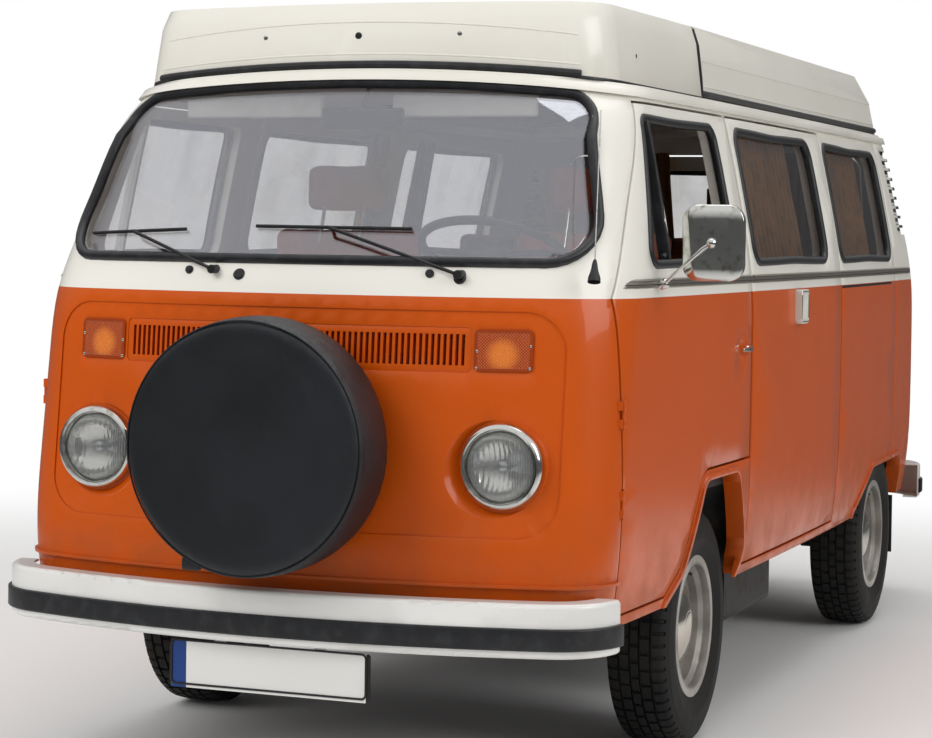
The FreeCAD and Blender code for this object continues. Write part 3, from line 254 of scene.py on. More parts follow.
orange, cream = colour(203, 84, 8), colour(233, 230, 221)
belt_height = 1.243
paint = Finish("two_colour_paint", Specular_IOR_Level=0.25, Coat_Weight=0.3, Coat_Roughness=0.05)
height = paint.axis("Z")
patches = paint.noise(3.5)
# Below about 0.8 m the paint is made darker and browner in patches, and rougher there too.
low_darkening = (1 - height.step(0.42, 0.80)) * paint.noise(9, 6).step(0.25, 0.75)
# The pockets of the engine's air intakes on the rear pillars are painted near black, as the shade inside the
# slots.
louvre_low, louvre_pitch, louvre_height = 1.427, 0.036, 0.027
above = height - louvre_low
louvre_rows = above.maths("MODULO", above, louvre_pitch).band(0.001, louvre_height, 0.0006)
louvre_rows = louvre_rows * height.band(louvre_low, 1.743, 0.0005)
louvre_zone = louvre_rows * paint.axis("Y").band(1.853, 2.111, 0.002)
louvre_shade = louvre_zone * abs(paint.axis("X")).step(0.69, 0.7)
below = paint.mix(patches * 0.5, orange, colour(182, 72, 6))
below = paint.mix(low_darkening * 0.45, below, colour(112, 74, 44))
painted = paint.mix(height.step(belt_height - 0.0006, belt_height + 0.0006), below, cream)
paint.feed("Base Color", paint.mix(louvre_shade, painted, (0.006, 0.006, 0.006, 1)))
paint.feed("Roughness", 0.26 + low_darkening * 0.3 + patches * 0.06)
paint.relief(paint.noise(3, 2) + paint.noise(300, 2) * 0.01, 0.06, 0.003)
shell = ["front_panel", "side_frame_left", "side_frame_right", "cab_door_left", "cab_door_right"]
dress([*shell, "sliding_door", "tailgate", "rear_panel", "engine_lid", "fresh_air_grille"], paint)

# The roof is three pressings over the shell: the skin with its gutters, a luggage tray over the
# cab and the tilting top behind it, all sprayed cream. Ribs are rolled into the upper two.
roof_paint = Finish("cream_paint", Coat_Weight=0.5, Coat_Roughness=0.08)
roof_paint.feed("Base Color", roof_paint.mix(roof_paint.noise(2.5) * 0.6, cream, colour(214, 209, 196)))
roof_paint.feed("Roughness", 0.3 + roof_paint.noise(14) * 0.12)
roof_paint.relief(roof_paint.noise(3, 2) + roof_paint.noise(300, 2) * 0.01, 0.06, 0.003)
dress(["roof_panel", "roof_tray", "pop_top"], roof_paint)

# Panes of clear safety glass stand in the shell. Most of what they show is their reflection,
# so each is a mirror that lets three quarters of the light through, with a faint film of dust.
glass = Finish("clear_glass", Metallic=1.0, Roughness=0.03)
film = glass.noise(6, 6, (1, 1, 0.4)).step(0.45, 0.8)
glass.feed("Base Color", glass.mix(film, colour(206, 208, 216), colour(186, 186, 188)))
glass.feed("Alpha", 0.27 + film * 0.1)
dress(["windscreen", "cab_door_glass_right", "vent_glass_left", "side_glass", "tailgate_glass"], glass, 0)


# Every pane is held by a black rubber section that is pushed over the steel edge, and a round
# bead of it stands proud of both. Each is a ring that follows its window over the curved skin.
def keep(shape, name, finish, body, stands_for=(), sharp=40):
    """Make a finished piece of a bmesh and let it ride on a body."""
    for face in shape.faces:
        face.smooth = True
    for edge in shape.edges:
        edge.smooth = len(edge.link_faces) != 2 or edge.calc_face_angle() < math.radians(sharp)
    mesh = bpy.data.meshes.new(name)
    shape.to_mesh(mesh)
    shape.free()
    mesh.materials.append(finish.material)
    made = bpy.data.objects.new(name, mesh)
    bpy.context.scene.collection.objects.link(made)
    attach(made, body)
    if stands_for:
        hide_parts(*stands_for)
    return made


def tube(line, radius, closed=False, sides=3):
    """A round bar along the points of a line, as a bmesh."""
    curve = bpy.data.curves.new("line", "CURVE")
    curve.dimensions, curve.bevel_depth, curve.bevel_resolution = "3D", radius, sides
    curve.use_fill_caps = not closed
    spline = curve.splines.new("POLY")
    spline.points.add(len(line) - 1)
    for point, spot in zip(spline.points, line):
        point.co = (*spot, 1)
    spline.use_cyclic_u = closed
    holder = bpy.data.objects.new("line", curve)
    bpy.context.scene.collection.objects.link(holder)
    mesh = bpy.data.meshes.new_from_object(holder.evaluated_get(bpy.context.evaluated_depsgraph_get()))
    bpy.data.objects.remove(holder)
    shape = bmesh.new()
    shape.from_mesh(mesh)
    bmesh.ops.remove_doubles(shape, verts=shape.verts, dist=1e-6)
    bmesh.ops.recalc_face_normals(shape, faces=shape.faces)
    return shape


def rounded(corners, radius, cut=0.05):
    """The points of a polygon in a plane whose corners are rounded and long sides divided."""
    flat = bmesh.new()
    flat.faces.new([flat.verts.new((*corner, 0)) for corner in corners])
    for spot in list(flat.verts):
        one, other = (edge.other_vert(spot).co - spot.co for edge in spot.link_edges)
        reach = radius / math.tan(one.angle(other) / 2)
        bevelled = {"affect": "VERTICES", "segments": 8, "profile": 0.5, "material": -1}
        bmesh.ops.bevel(flat, geom=[spot], offset=reach, offset_type="OFFSET", **bevelled)
    for edge in [e for e in flat.edges if e.calc_length() > cut]:
        bmesh.ops.subdivide_edges(flat, edges=[edge], cuts=int(edge.calc_length() / cut))
    flat.faces.ensure_lookup_table()
    points = [tuple(loop.vert.co.xy) for loop in flat.faces[0].loops]
    flat.free()
    return points


def skin(*names):
    """The surfaces of solids of the frame, for rays to find."""
    corners, faces = [], []
    for name in names:
        mesh = nodes[name].data
        start = len(corners)
        corners += [vertex.co.copy() for vertex in mesh.vertices]
        faces += [[start + corner for corner in face.vertices] for face in mesh.polygons]
    return BVHTree.FromPolygons(corners, faces)


def grown(points, out):
    """Points moved away from their middle by out."""
    middle = sum((Vector(point) for point in points), Vector((0, 0))) / len(points)
    return [Vector(point) + (Vector(point) - middle).normalized() * out for point in points]


def on_side(surface, side, points, proud=0.0):
    """The x of points (y, z) laid on the left (1) or right (-1) surface, proud of it. A point in a
    seam is laid level with the steel beside it."""
    found = []
    for y, z in points:
        starts = (Vector((2 * side, y + 0.004 * shift, z)) for shift in (0, 1, -1, 2, -2, 3, -3))
        casts = (surface.ray_cast(start, Vector((-side, 0, 0)))[0] for start in starts)
        hit = next(cast for cast in casts if cast is not None and cast.x * side > 0.3)
        found.append(hit.x + side * proud)
    return found


def on_end(surface, end, points, proud=0.0):
    """The y of points (x, z) laid on the nose (-1) or the tail (1), proud of it. A point just over
    its top edge is laid on that edge."""
    found = []
    for x, z in points:
        starts = (Vector((x, 4 * end, z - 0.003 * drop)) for drop in range(30))
        casts = (surface.ray_cast(start, Vector((0, -end, 0)))[0] for start in starts)
        found.append(next(cast for cast in casts if cast is not None).y + end * proud)
    return found


rubber = Finish("black_rubber")
dull = rubber.noise(30, 5)
rubber.feed("Base Color", rubber.mix(dull.step(0.4, 0.8), colour(26, 27, 30), colour(44, 45, 47)))
rubber.feed("Roughness", 0.34 + dull * 0.2)
rubber.relief(rubber.noise(160, 3), 0.15, 0.001)


def side_seal(name, side, corners, radius, panels, body):
    """The rubber round a side window with corners (y, z), laid on panels."""
    points = rounded(corners, radius)
    inner = grown(points, -0.007)
    line = [(x, *p) for x, p in zip(on_side(skin(*panels), side, grown(points, 0.007), -0.005), inner)]
    keep(tube(line, 0.013, True), name, rubber, body)


def window(front, rear, low=1.322, high=1.708):
    """The corners (y, z) of an upright window."""
    return [(front, low), (rear, low), (rear, high), (front, high)]


cab_corners = [(-1.654, 1.322), (-0.860, 1.322), (-0.860, 1.708), (-1.520, 1.708)]
for side, word in ((1, "left"), (-1, "right")):
    door = "cab_door_" + word
    panels = (door, "side_frame_" + word, "front_panel")
    side_seal("seal_cab_" + word, side, cab_corners, 0.04, panels, door)
side_seal("seal_mid_left", 1, window(-0.658, 0.312), 0.055, ("sliding_door",), "van")
side_seal("seal_mid_right", -1, window(-0.658, 0.312), 0.055, ("side_frame_right",), "van")
side_seal("seal_rear_left", 1, window(0.522, 1.512), 0.055, ("side_frame_left",), "van")
side_seal("seal_rear_right", -1, window(0.522, 1.512), 0.055, ("side_frame_right",), "van")
screen_corners = [(0.744, 1.328), (0.642, 1.757), (0.3, 1.782), (0.0, 1.788)]
screen_corners += [(-x, z) for x, z in screen_corners[2::-1]]
screen_points = rounded(screen_corners, 0.095)
screen_skin = skin("front_panel", "windscreen")
screen_line = [(p[0], y, p[1]) for p, y in zip(screen_points, on_end(screen_skin, -1, screen_points, 0.002))]
keep(tube(screen_line, 0.0135, True), "seal_screen", rubber, "van")
tail_points = rounded([(-0.5, 1.335), (0.5, 1.335), (0.5, 1.66), (-0.5, 1.66)], 0.05)
tail_y = on_end(skin("tailgate"), 1, grown(tail_points, 0.016), -0.004)
tail_line = [(p[0], y, p[1]) for p, y in zip(grown(tail_points, -0.007), tail_y)]
keep(tube(tail_line, 0.0125, True), "seal_tailgate", rubber, "tailgate")
dress(["roof_gaskets", "bumper_strips", "mud_flaps"], rubber, 0.001)


# Each headlamp is a polished steel ring round a domed, ribbed glass, with a silvered bowl and a
# capped bulb behind it. The ring is clipped over the lamp's body, which sits in the nose.
def spun(outline, centre, axis, steps=64):
    """A turned piece: pairs of distance along the axis and radius, as a bmesh."""
    shape = bmesh.new()
    axis, centre = Vector(axis), Vector(centre)
    side = axis.orthogonal().normalized()
    row = [shape.verts.new(centre + axis * along + side * radius) for along, radius in outline]
    edges = [shape.edges.new(pair) for pair in zip(row, row[1:])]
    turning = {"cent": centre, "axis": axis, "angle": 2 * math.pi, "steps": steps, "use_merge": True}
    bmesh.ops.spin(shape, geom=row + edges, **turning)
    bmesh.ops.remove_doubles(shape, verts=shape.verts, dist=1e-6)
    bmesh.ops.recalc_face_normals(shape, faces=shape.faces)
    return shape


def join(*shapes):
    """One bmesh of several."""
    whole = bmesh.new()
    for shape in shapes:
        part = bpy.data.meshes.new("part")
        shape.to_mesh(part)
        shape.free()
        whole.from_mesh(part)
        bpy.data.meshes.remove(part)
    return whole


chrome = Finish("polished_steel", Metallic=1.0)
spots = chrome.noise(45, 6)
chrome.feed("Base Color", chrome.mix(spots.step(0.5, 0.85), colour(214, 214, 210), colour(150, 142, 128)))
chrome.feed("Roughness", 0.06 + spots * 0.1)
silver = Finish("silvered_bowl", Metallic=1.0, Base_Color=colour(205, 205, 200))
silver.feed("Roughness", 0.08 + silver.noise(70) * 0.12)
silver.relief(silver.noise(26, 3) + silver.axis("X").wave(0.012) * 0.1, 0.25, 0.006)
lens = Finish("ribbed_glass", Base_Color=colour(214, 216, 216), Coat_Weight=1.0, Coat_Roughness=0.02)
ribs = lens.axis("X").wave(0.0062) + lens.axis("Z").wave(0.02) * 0.3
lens.feed("Roughness", 0.08 + lens.noise(30) * 0.05)
lens.feed("Alpha", 0.22 + ribs * 0.06 + lens.noise(25, 5).step(0.5, 0.8) * 0.1)
lens.relief(ribs, 0.5, 0.002)
bulb_cap = Finish("bulb_cap", Metallic=1.0)
bulb_cap.feed("Base Color", bulb_cap.mix(bulb_cap.noise(60), colour(120, 122, 128), colour(190, 192, 196)))
bulb_cap.feed("Roughness", 0.2 + bulb_cap.noise(90) * 0.1)
ahead = (0, -1, 0)
ring_outline = [
    (0.0, 0.1065), (0.008, 0.1075), (0.017, 0.1058), (0.0235, 0.1015), (0.026, 0.0965), (0.0245, 0.0925),
    (0.020, 0.0905), (0.013, 0.0898), (0.009, 0.088), (0.009, 0.0855), (0.012, 0.0842), (0.004, 0.083),
]
dome = [(0.012, 0.0845), (0.0155, 0.080), (0.0195, 0.065), (0.0225, 0.045), (0.024, 0.022), (0.0245, 0.0)]
bowl = [(0.009, 0.084), (-0.008, 0.076), (-0.026, 0.058), (-0.037, 0.036), (-0.042, 0.016), (-0.042, 0.0)]
cap = [(-0.041, 0.012), (-0.014, 0.012), (-0.012, 0.017), (-0.004, 0.0165), (0.004, 0.010), (0.006, 0.0)]
for side, word in ((1, "left"), (-1, "right")):
    seat = (0.553 * side, -2.036, 0.835)
    ring = spun(ring_outline, seat, ahead, 96)
    keep(ring, "lamp_ring_" + word, chrome, "van", ("front_lamps",))
    keep(spun(dome, seat, ahead), "lamp_glass_" + word, lens, "van")
    keep(spun(bowl, seat, ahead), "lamp_bowl_" + word, silver, "van")
    keep(spun(cap, seat, ahead, 32), "lamp_bulb_" + word, bulb_cap, "van")


# The indicators are amber plastic covers with small prisms moulded inside, each held on by
# screws in a body-coloured surround beside the fresh-air grille. The prisms are painted lighter
# at their peaks as glints, and a paler glow is painted in the middle of each cover.
def copied(name, wanted):
    """A copy of the faces of a solid whose corners are all wanted, with its doubles merged."""
    shape = bmesh.new()
    shape.from_mesh(nodes[name].data)
    bmesh.ops.remove_doubles(shape, verts=shape.verts, dist=1e-5)
    bmesh.ops.delete(shape, geom=[v for v in shape.verts if not wanted(v.co)], context="VERTS")
    return shape


amber = Finish("amber_plastic", Coat_Weight=0.5, Coat_Roughness=0.05)
across, upward = abs(amber.axis("X")), amber.axis("Z")
prisms = across.wave(0.0075) * upward.wave(0.0075)
inside = across.band(0.486, 0.610, 0.001) * upward.band(1.072, 1.158, 0.001)
# A paler amber glow is painted in the middle of each cover, and the prism peaks are painted lighter as glints.
painted_glow = 1 - ((across - 0.546) * (across - 0.546) + (upward - 1.105) * (upward - 1.105)).step(0.0, 0.0022)
prism_glints = amber.mix(prisms.step(-0.2, 0.9) * inside, colour(150, 56, 8), colour(214, 96, 20))
amber.feed("Base Color", amber.mix(painted_glow * inside * 0.7, prism_glints, colour(246, 138, 44)))
amber.feed("Roughness", 0.16 + amber.noise(40) * 0.1)
amber.relief(prisms * inside + (1 - inside) * 2, 0.6, 0.0015)
covers = keep(copied("front_lamps", lambda c: c.z > 1.0), "indicator_covers", amber, "van")
rounding = covers.modifiers.new("edges", "BEVEL")
rounding.width, rounding.segments, rounding.limit_method = 0.004, 3, "ANGLE"
nose = skin("front_panel", "fresh_air_grille", "front_lamps")


def screws(places, surface, radius, name, finish, body):
    """Domed screw heads at places (x, z) on the nose."""
    heads = []
    for x, z in places:
        y = on_end(surface, -1, [(x, z)])[0]
        head = [(-0.001, radius), (0.0008, radius), (0.0018, radius * 0.7), (0.002, 0.0)]
        heads.append(spun(head, (x, y, z), ahead, 16))
    keep(join(*heads), name, finish, body)


screw_spots = ((0.484, 1.113), (0.612, 1.127), (0.484, 1.072), (0.611, 1.073))
corners = [(side * x, z) for side in (1, -1) for x, z in screw_spots]
screws(corners, nose, 0.0035, "indicator_screws", chrome, "van")

# Behind the slots of the fresh-air grille, a black sheet is painted shade for the dark inside of
# the air duct: it follows the curve of the nose, just under the grille's bars.
# This black finish is painted shade, used for the gaps of the grille, the rail slot and the intake slots.
shade_black = Finish("painted_shade_black", Roughness=0.9)
shade_black.feed("Base Color", shade_black.mix(shade_black.noise(50), (0.002, 0.002, 0.002, 1), (0.008, 0.007, 0.006, 1)))
grille_shade = bmesh.new()
grille_shade_rows = []
for z in (1.0615, 1.1685):
    spots = [(x / 40, z) for x in range(-18, 19)]
    laid = on_end(nose, -1, [(p[0], 1.0635 if z < 1.1 else 1.1665) for p in spots], -0.0175)
    grille_shade_rows.append([grille_shade.verts.new((p[0], y, z)) for p, y in zip(spots, laid)])
for a, b, c, d in zip(grille_shade_rows[0], grille_shade_rows[0][1:], grille_shade_rows[1][1:], grille_shade_rows[1]):
    grille_shade.faces.new((a, b, c, d))
keep(grille_shade, "grille_shade_sheet", shade_black, "van")

# Wiper arms and blades, screen-washer jets and the aerial stand on the panel under the screen.
# All are black plastic over steel, and the aerial is a thin steel rod on a ball foot.
plastic = Finish("black_plastic")
plastic.feed("Base Color", plastic.mix(plastic.noise(80, 5), colour(19, 19, 21), colour(37, 37, 39)))
plastic.feed("Roughness", 0.42 + plastic.noise(25) * 0.2)
plastic.relief(plastic.noise(900, 2), 0.2, 0.0004)
dress(["wipers", "steering_wheel"], plastic, 0.0006)
jets = []
for x, z in ((-0.300, 1.296), (0.352, 1.298)):
    y = on_end(nose, -1, [(x, z)])[0]
    jet = [(-0.002, 0.011), (0.004, 0.011), (0.009, 0.008), (0.011, 0.0)]
    jets.append(spun(jet, (x, y, z), (0, -0.85, 0.52), 16))
for x in (-0.152, 0.428):
    y = on_end(nose, -1, [(x, 1.288)])[0]
    collar = [(-0.002, 0.0155), (0.003, 0.0155), (0.006, 0.012), (0.006, 0.0)]
    jets.append(spun(collar, (x, y, 1.288), (0, -0.85, 0.52), 24))
keep(join(*jets), "washer_jets", plastic, "van")
aerial_foot, aerial_tip = Vector((0.752, -1.952, 1.296)), Vector((0.7155, -1.80, 1.708))
upright = (aerial_tip - aerial_foot).normalized()
foot = [(-0.012, 0.016), (0.0, 0.015), (0.012, 0.011), (0.02, 0.009)]
foot += [(0.038, 0.006), (0.046, 0.0035), (0.046, 0.0)]
keep(spun(foot, aerial_foot, upright, 24), "aerial_foot", plastic, "van")
keep(tube([aerial_foot, aerial_tip], 0.0016, False, 2), "aerial_rod", chrome, "van")

# A moulded strip of bright metal runs along each side under the windows, in lengths that end at
# the door seams; its two grooves are painted dark as the shade in them. Below it the left side
# has the sliding door's rail slot, whose gap is a black strip painted as its shade.
strip_metal = Finish("strip_metal", Metallic=0.85)
# The two grooves are painted dark as the shade inside them, and dented by the bump.
groove_shade = strip_metal.axis("Z").band(1.2745, 1.2765, 0.0004) + strip_metal.axis("Z").band(1.283, 1.2845, 0.0004)
strip_metal.feed("Base Color", strip_metal.mix(groove_shade, colour(150, 144, 134), colour(60, 56, 50)))
strip_metal.feed("Roughness", 0.28 + strip_metal.noise(40, 5, (1, 0.1, 1)) * 0.2)
strip_metal.relief(1 - groove_shade, 0.6, 0.001)
side_names = {1: ("front_panel", "side_frame_left", "cab_door_left", "sliding_door", "rear_panel")}
side_names[-1] = ("front_panel", "side_frame_right", "cab_door_right", "rear_panel")
side_skin = {side: skin(*names) for side, names in side_names.items()}


def strip(side, front, rear, name, body):
    """A half-round moulding on the belt from front to rear, with a slanted end at the nose."""
    shape = bmesh.new()
    count = max(2, int((rear - front) / 0.06))
    section = [(0.0, 1.2665), (0.0065, 1.2685), (0.0085, 1.2735)]
    section += [(0.0085, 1.2835), (0.0065, 1.288), (0.0, 1.2905)]
    rows = []
    for index in range(count + 1):
        y = front + (rear - front) * index / count
        x = on_side(side_skin[side], side, [(y, 1.262), (y, 1.295)])
        slope = (x[1] - x[0]) / 0.033
        rows.append([shape.verts.new((x[0] + slope * (z - 1.262) + side * out, y, z)) for out, z in section])
    for row, ahead_row in zip(rows, rows[1:]):
        for a, b, c, d in zip(row, row[1:], ahead_row[1:], ahead_row):
            shape.faces.new((a, b, c, d))
    shape.faces.new(rows[0])
    shape.faces.new(rows[-1])
    bmesh.ops.recalc_face_normals(shape, faces=shape.faces)
    if front < -1.8:
        for vertex in rows[0]:
            vertex.co.y += (vertex.co.z - 1.2665) * 1.3
    return keep(shape, name, strip_metal, body)


for side, word in ((1, "left"), (-1, "right")):
    strip(side, -1.822, -0.7235, "belt_door_" + word, "cab_door_" + word)
    strip(side, -0.6955 if side > 0 else -0.716, 0.5030, "belt_middle_" + word, "van")
    strip(side, 0.5145, 1.592, "belt_rear_" + word, "van")
    strip(side, 1.602, 1.93, "belt_corner_" + word, "van")

def cuboid(size):
    """A box of a size round the origin, as a bmesh."""
    shape = bmesh.new()
    bmesh.ops.create_cube(shape, size=1)
    bmesh.ops.scale(shape, vec=size, verts=shape.verts)
    return shape


def soften(shape, edges, width, segments):
    """Round edges of a bmesh."""
    rounding = {"affect": "EDGES", "segments": segments, "profile": 0.5, "material": -1}
    bmesh.ops.bevel(shape, geom=edges, offset=width, **rounding)


# The rail slot's gap is a thin black strip just proud of the skin, painted as the shade inside it.
slot_shade_strip = cuboid((0.012, 0.98, 0.009))
bmesh.ops.subdivide_edges(slot_shade_strip, edges=[e for e in slot_shade_strip.edges if e.calc_length() > 0.5], cuts=20)
for vertex in slot_shade_strip.verts:
    y = vertex.co.y + 1.01
    x = on_side(side_skin[1], 1, [(y, 1.2375)])[0]
    vertex.co = (x - 0.0055 + vertex.co.x, y, vertex.co.z + 1.2365)
soften(slot_shade_strip, slot_shade_strip.edges, 0.0008, 2)
keep(slot_shade_strip, "rail_slot_shade", shade_black, "van")

# The door mirror is a pressed, plated shell with rounded corners, held at its middle by a ball
# joint on a bent rod, whose foot is clamped to the belt of the left door.
mirror_middle = Vector((0.960, -1.617, 1.3825))
mirror_shell = cuboid((0.158, 0.022, 0.192))
tall = [e for e in mirror_shell.edges if abs(e.verts[0].co.y - e.verts[1].co.y) > 0.01]
soften(mirror_shell, tall, 0.042, 8)
back_face = min(mirror_shell.faces, key=lambda f: f.calc_center_median().y)
for share, rise in ((0.005, 0.004), (0.010, 0.004), (0.012, 0.003), (0.008, 0.001)):
    bmesh.ops.inset_region(mirror_shell, faces=[back_face], thickness=share, depth=rise)
glass_face = max(mirror_shell.faces, key=lambda f: f.calc_center_median().y)
bmesh.ops.inset_region(mirror_shell, faces=[glass_face], thickness=0.006, depth=0)
bmesh.ops.inset_region(mirror_shell, faces=[glass_face], thickness=0.002, depth=-0.003)
bmesh.ops.translate(mirror_shell, verts=mirror_shell.verts, vec=mirror_middle)
head = keep(mirror_shell, "mirror_head", chrome, "cab_door_left", ("door_mirror",), 50)
softening = head.modifiers.new("edges", "BEVEL")
softening.width, softening.segments, softening.limit_method = 0.003, 3, "ANGLE"
foot_spot = Vector((0.832, -1.612, 1.277))
ball_spot = mirror_middle + Vector((0.0, -0.022, 0.0))
elbow = ball_spot + Vector((-0.02, -0.010, -0.014))
arm_start = [foot_spot + Vector((-0.004, 0, -0.004)), foot_spot + Vector((0.012, -0.01, 0.01))]
arm = tube([*arm_start, elbow, ball_spot], 0.0048)
ball = [(-0.010, 0.006), (-0.004, 0.012), (0.004, 0.0135), (0.010, 0.011), (0.015, 0.005), (0.016, 0.0)]
clamp = [(-0.012, 0.011), (-0.004, 0.0125), (0.006, 0.0125), (0.010, 0.009), (0.012, 0.0)]
fixings = [arm, spun(ball, ball_spot, ahead, 32), spun(clamp, foot_spot, (1, -0.2, 0.5), 32)]
keep(join(*fixings), "mirror_arm", chrome, "cab_door_left")

# The bar between the quarter light and the wound-down pane of the left door has a black rubber
# cover. The quarter light's latch is a small moulded lever at its foot.
bar_cover = cuboid((0.031, 0.019, 0.380))
tall = [edge for edge in bar_cover.edges if edge.calc_length() > 0.3]
bmesh.ops.subdivide_edges(bar_cover, edges=tall, cuts=9)
door_skin = skin("cab_door_left")
for vertex in bar_cover.verts:
    z = vertex.co.z + 1.515
    y = -1.483 + 0.011 * (z - 1.322) / 0.386
    vertex.co = (on_side(door_skin, 1, [(y, z)])[0] - 0.0130 + vertex.co.x, y + vertex.co.y, z)
corner_edges = [edge for edge in bar_cover.edges if edge.calc_face_angle() > 1]
soften(bar_cover, corner_edges, 0.003, 2)
keep(bar_cover, "quarter_bar_cover", rubber, "cab_door_left")
latch = tube([(0.786, -1.492, 1.345), (0.800, -1.500, 1.350), (0.803, -1.530, 1.343)], 0.0065)
keep(latch, "quarter_light_latch", plastic, "cab_door_left")

# Each cab door has a pull lever of cast, plated metal over a dish in the skin. It is waisted,
# pointed ahead and broad behind, where its lock barrel stands.
for side, word in ((1, "left"), (-1, "right")):
    lever = cuboid((0.012, 0.105, 0.019))
    bmesh.ops.subdivide_edges(lever, edges=[e for e in lever.edges if e.calc_length() > 0.05], cuts=7)
    for vertex in lever.verts:
        along = vertex.co.y / 0.105 + 0.5
        vertex.co.z *= 0.45 + 0.75 * along * along
        vertex.co.x += 0.007 * math.sin(math.pi * min(1, along * 1.1)) - 0.003
    soften(lever, lever.edges, 0.0022, 2)
    bmesh.ops.scale(lever, vec=(side, 1, 1), verts=lever.verts)
    bmesh.ops.translate(lever, verts=lever.verts, vec=(0.8535 * side, -0.806, 1.081))
    post = [(-0.022, 0.0095), (0.002, 0.0085), (0.004, 0.007), (0.004, 0.0)]
    barrel = spun(post, (0.852 * side, -0.765, 1.081), (side, 0, 0), 24)
    lever = join(lever, barrel)
    bmesh.ops.recalc_face_normals(lever, faces=lever.faces)
    keep(lever, "lever_" + word, chrome, "cab_door_" + word, ("door_handle_" + word,))

# The mains hookup has a pale moulded cover on the sliding door: a frame with a raised lid and a
# small thumb catch.
pale_plastic = Finish("pale_plastic")
pale, aged = colour(222, 219, 210), colour(196, 192, 182)
pale_plastic.feed("Base Color", pale_plastic.mix(pale_plastic.noise(20), pale, aged))
pale_plastic.feed("Roughness", 0.38 + pale_plastic.noise(60) * 0.15)
dress(["hookup_cover"], pale_plastic, 0.004)
lid = cuboid((0.006, 0.078, 0.082))
soften(lid, [e for e in lid.edges if abs(e.verts[0].co.x - e.verts[1].co.x) > 0.003], 0.012, 5)
outside = max(lid.faces, key=lambda f: f.calc_center_median().x)
bmesh.ops.inset_region(lid, faces=[outside], thickness=0.006, depth=0.0)
bmesh.ops.inset_region(lid, faces=[outside], thickness=0.002, depth=-0.0015)
bmesh.ops.translate(lid, verts=lid.verts, vec=(0.8635, -0.135, 1.188))
keep(lid, "hookup_lid", pale_plastic, "van")
rim_line = [(0.8655, p[0] - 0.135, p[1] + 1.187) for p in
            rounded([(-0.046, -0.046), (0.046, -0.046), (0.046, 0.046), (-0.046, 0.046)], 0.012)]
keep(tube(rim_line, 0.0022, True), "hookup_rim", chrome, "van")

# The spare wheel hangs on the nose in a cover of black vinyl, drawn tight: a round front panel
# and a side band, sewn together over a piped seam that puckers, with an elastic hem behind.
vinyl = Finish("cover_vinyl", Specular_IOR_Level=0.5)
grain = vinyl.node("ShaderNodeTexVoronoi", {}, {"Vector": vinyl.place(), "Scale": 420.0})
clouds = vinyl.noise(4, 5)
vinyl.feed("Base Color", vinyl.mix(clouds.step(0.3, 0.75), colour(14, 16, 20), colour(25, 28, 33)))
vinyl.feed("Roughness", 0.36 + vinyl.noise(18, 5) * 0.2)
creases = vinyl.noise(13, 3, (1, 1, 0.35)).step(0.5, 0.75) * 6 + vinyl.noise(5, 2) * 10
vinyl.relief(grain + creases, 0.5, 0.0011)
spare_middle = (0, -2.352, 0.876)
cover_outline = [
    (-0.012, 0.0), (-0.0115, 0.10), (-0.010, 0.18), (-0.006, 0.225), (0.0005, 0.262), (0.0005, 0.285),
    (-0.003, 0.298), (-0.010, 0.3055), (-0.030, 0.3125), (-0.080, 0.3165), (-0.130, 0.3165),
    (-0.175, 0.311), (-0.200, 0.300), (-0.214, 0.284), (-0.222, 0.262),
]
cover = spun(cover_outline, spare_middle, ahead, 128)
for vertex in cover.verts:
    offset = vertex.co - Vector(spare_middle)
    angle, radius = math.atan2(offset.z, offset.x), math.hypot(offset.x, offset.z)
    pucker = math.sin(angle * 64) * math.sin(angle * 7 + 1.3) * 0.0012
    if -0.03 < -offset.y < 0.02 and 0.27 < radius < 0.312:
        vertex.co.y += pucker
    gather = math.sin(angle * 48) * 0.003 if offset.y > 0.19 else 0.0
    slack = 0.0012 * math.sin(angle * 3 + offset.y * 20)
    vertex.co += Vector((offset.x, 0, offset.z)).normalized() * (gather + slack)
cover_made = keep(cover, "spare_cover", vinyl, "van", ("spare_wheel",), 180)
thick = cover_made.modifiers.new("cloth", "SOLIDIFY")
thick.thickness, thick.offset = 0.0015, -1
finer = cover_made.modifiers.new("finer", "SUBSURF")
finer.levels = finer.render_levels = 1
turns = [math.pi * index / 64 for index in range(128)]
seam_radius, seam_y, seam_level = 0.307, -2.3415, spare_middle[2]
seam_line = [
    (seam_radius * math.cos(turn), seam_y, seam_level + seam_radius * math.sin(turn)) for turn in turns
]
keep(tube(seam_line, 0.0026, True), "cover_piping", vinyl, "van")
tyre_inside = [(0.22, 0.2), (0.225, 0.25), (0.20, 0.285), (0.16, 0.3)]
tyre_inside += [(0.07, 0.3), (0.03, 0.285), (0.025, 0.2)]
tyre_inside = [(-along, radius) for along, radius in tyre_inside]
carrier = [(-0.232, 0.0), (-0.232, 0.085), (-0.20, 0.085), (-0.16, 0.12), (-0.12, 0.18), (-0.12, 0.205)]
pieces = [spun(tyre_inside, spare_middle, ahead, 96), spun(carrier, spare_middle, ahead, 64)]
keep(join(*pieces), "spare_inside", rubber, "van")
strap = cuboid((0.05, 0.014, 0.03))
soften(strap, strap.edges, 0.005, 3)
bmesh.ops.translate(strap, verts=strap.verts, vec=(-0.135, -2.330, 0.5905))
keep(strap, "cover_clip", plastic, "van")

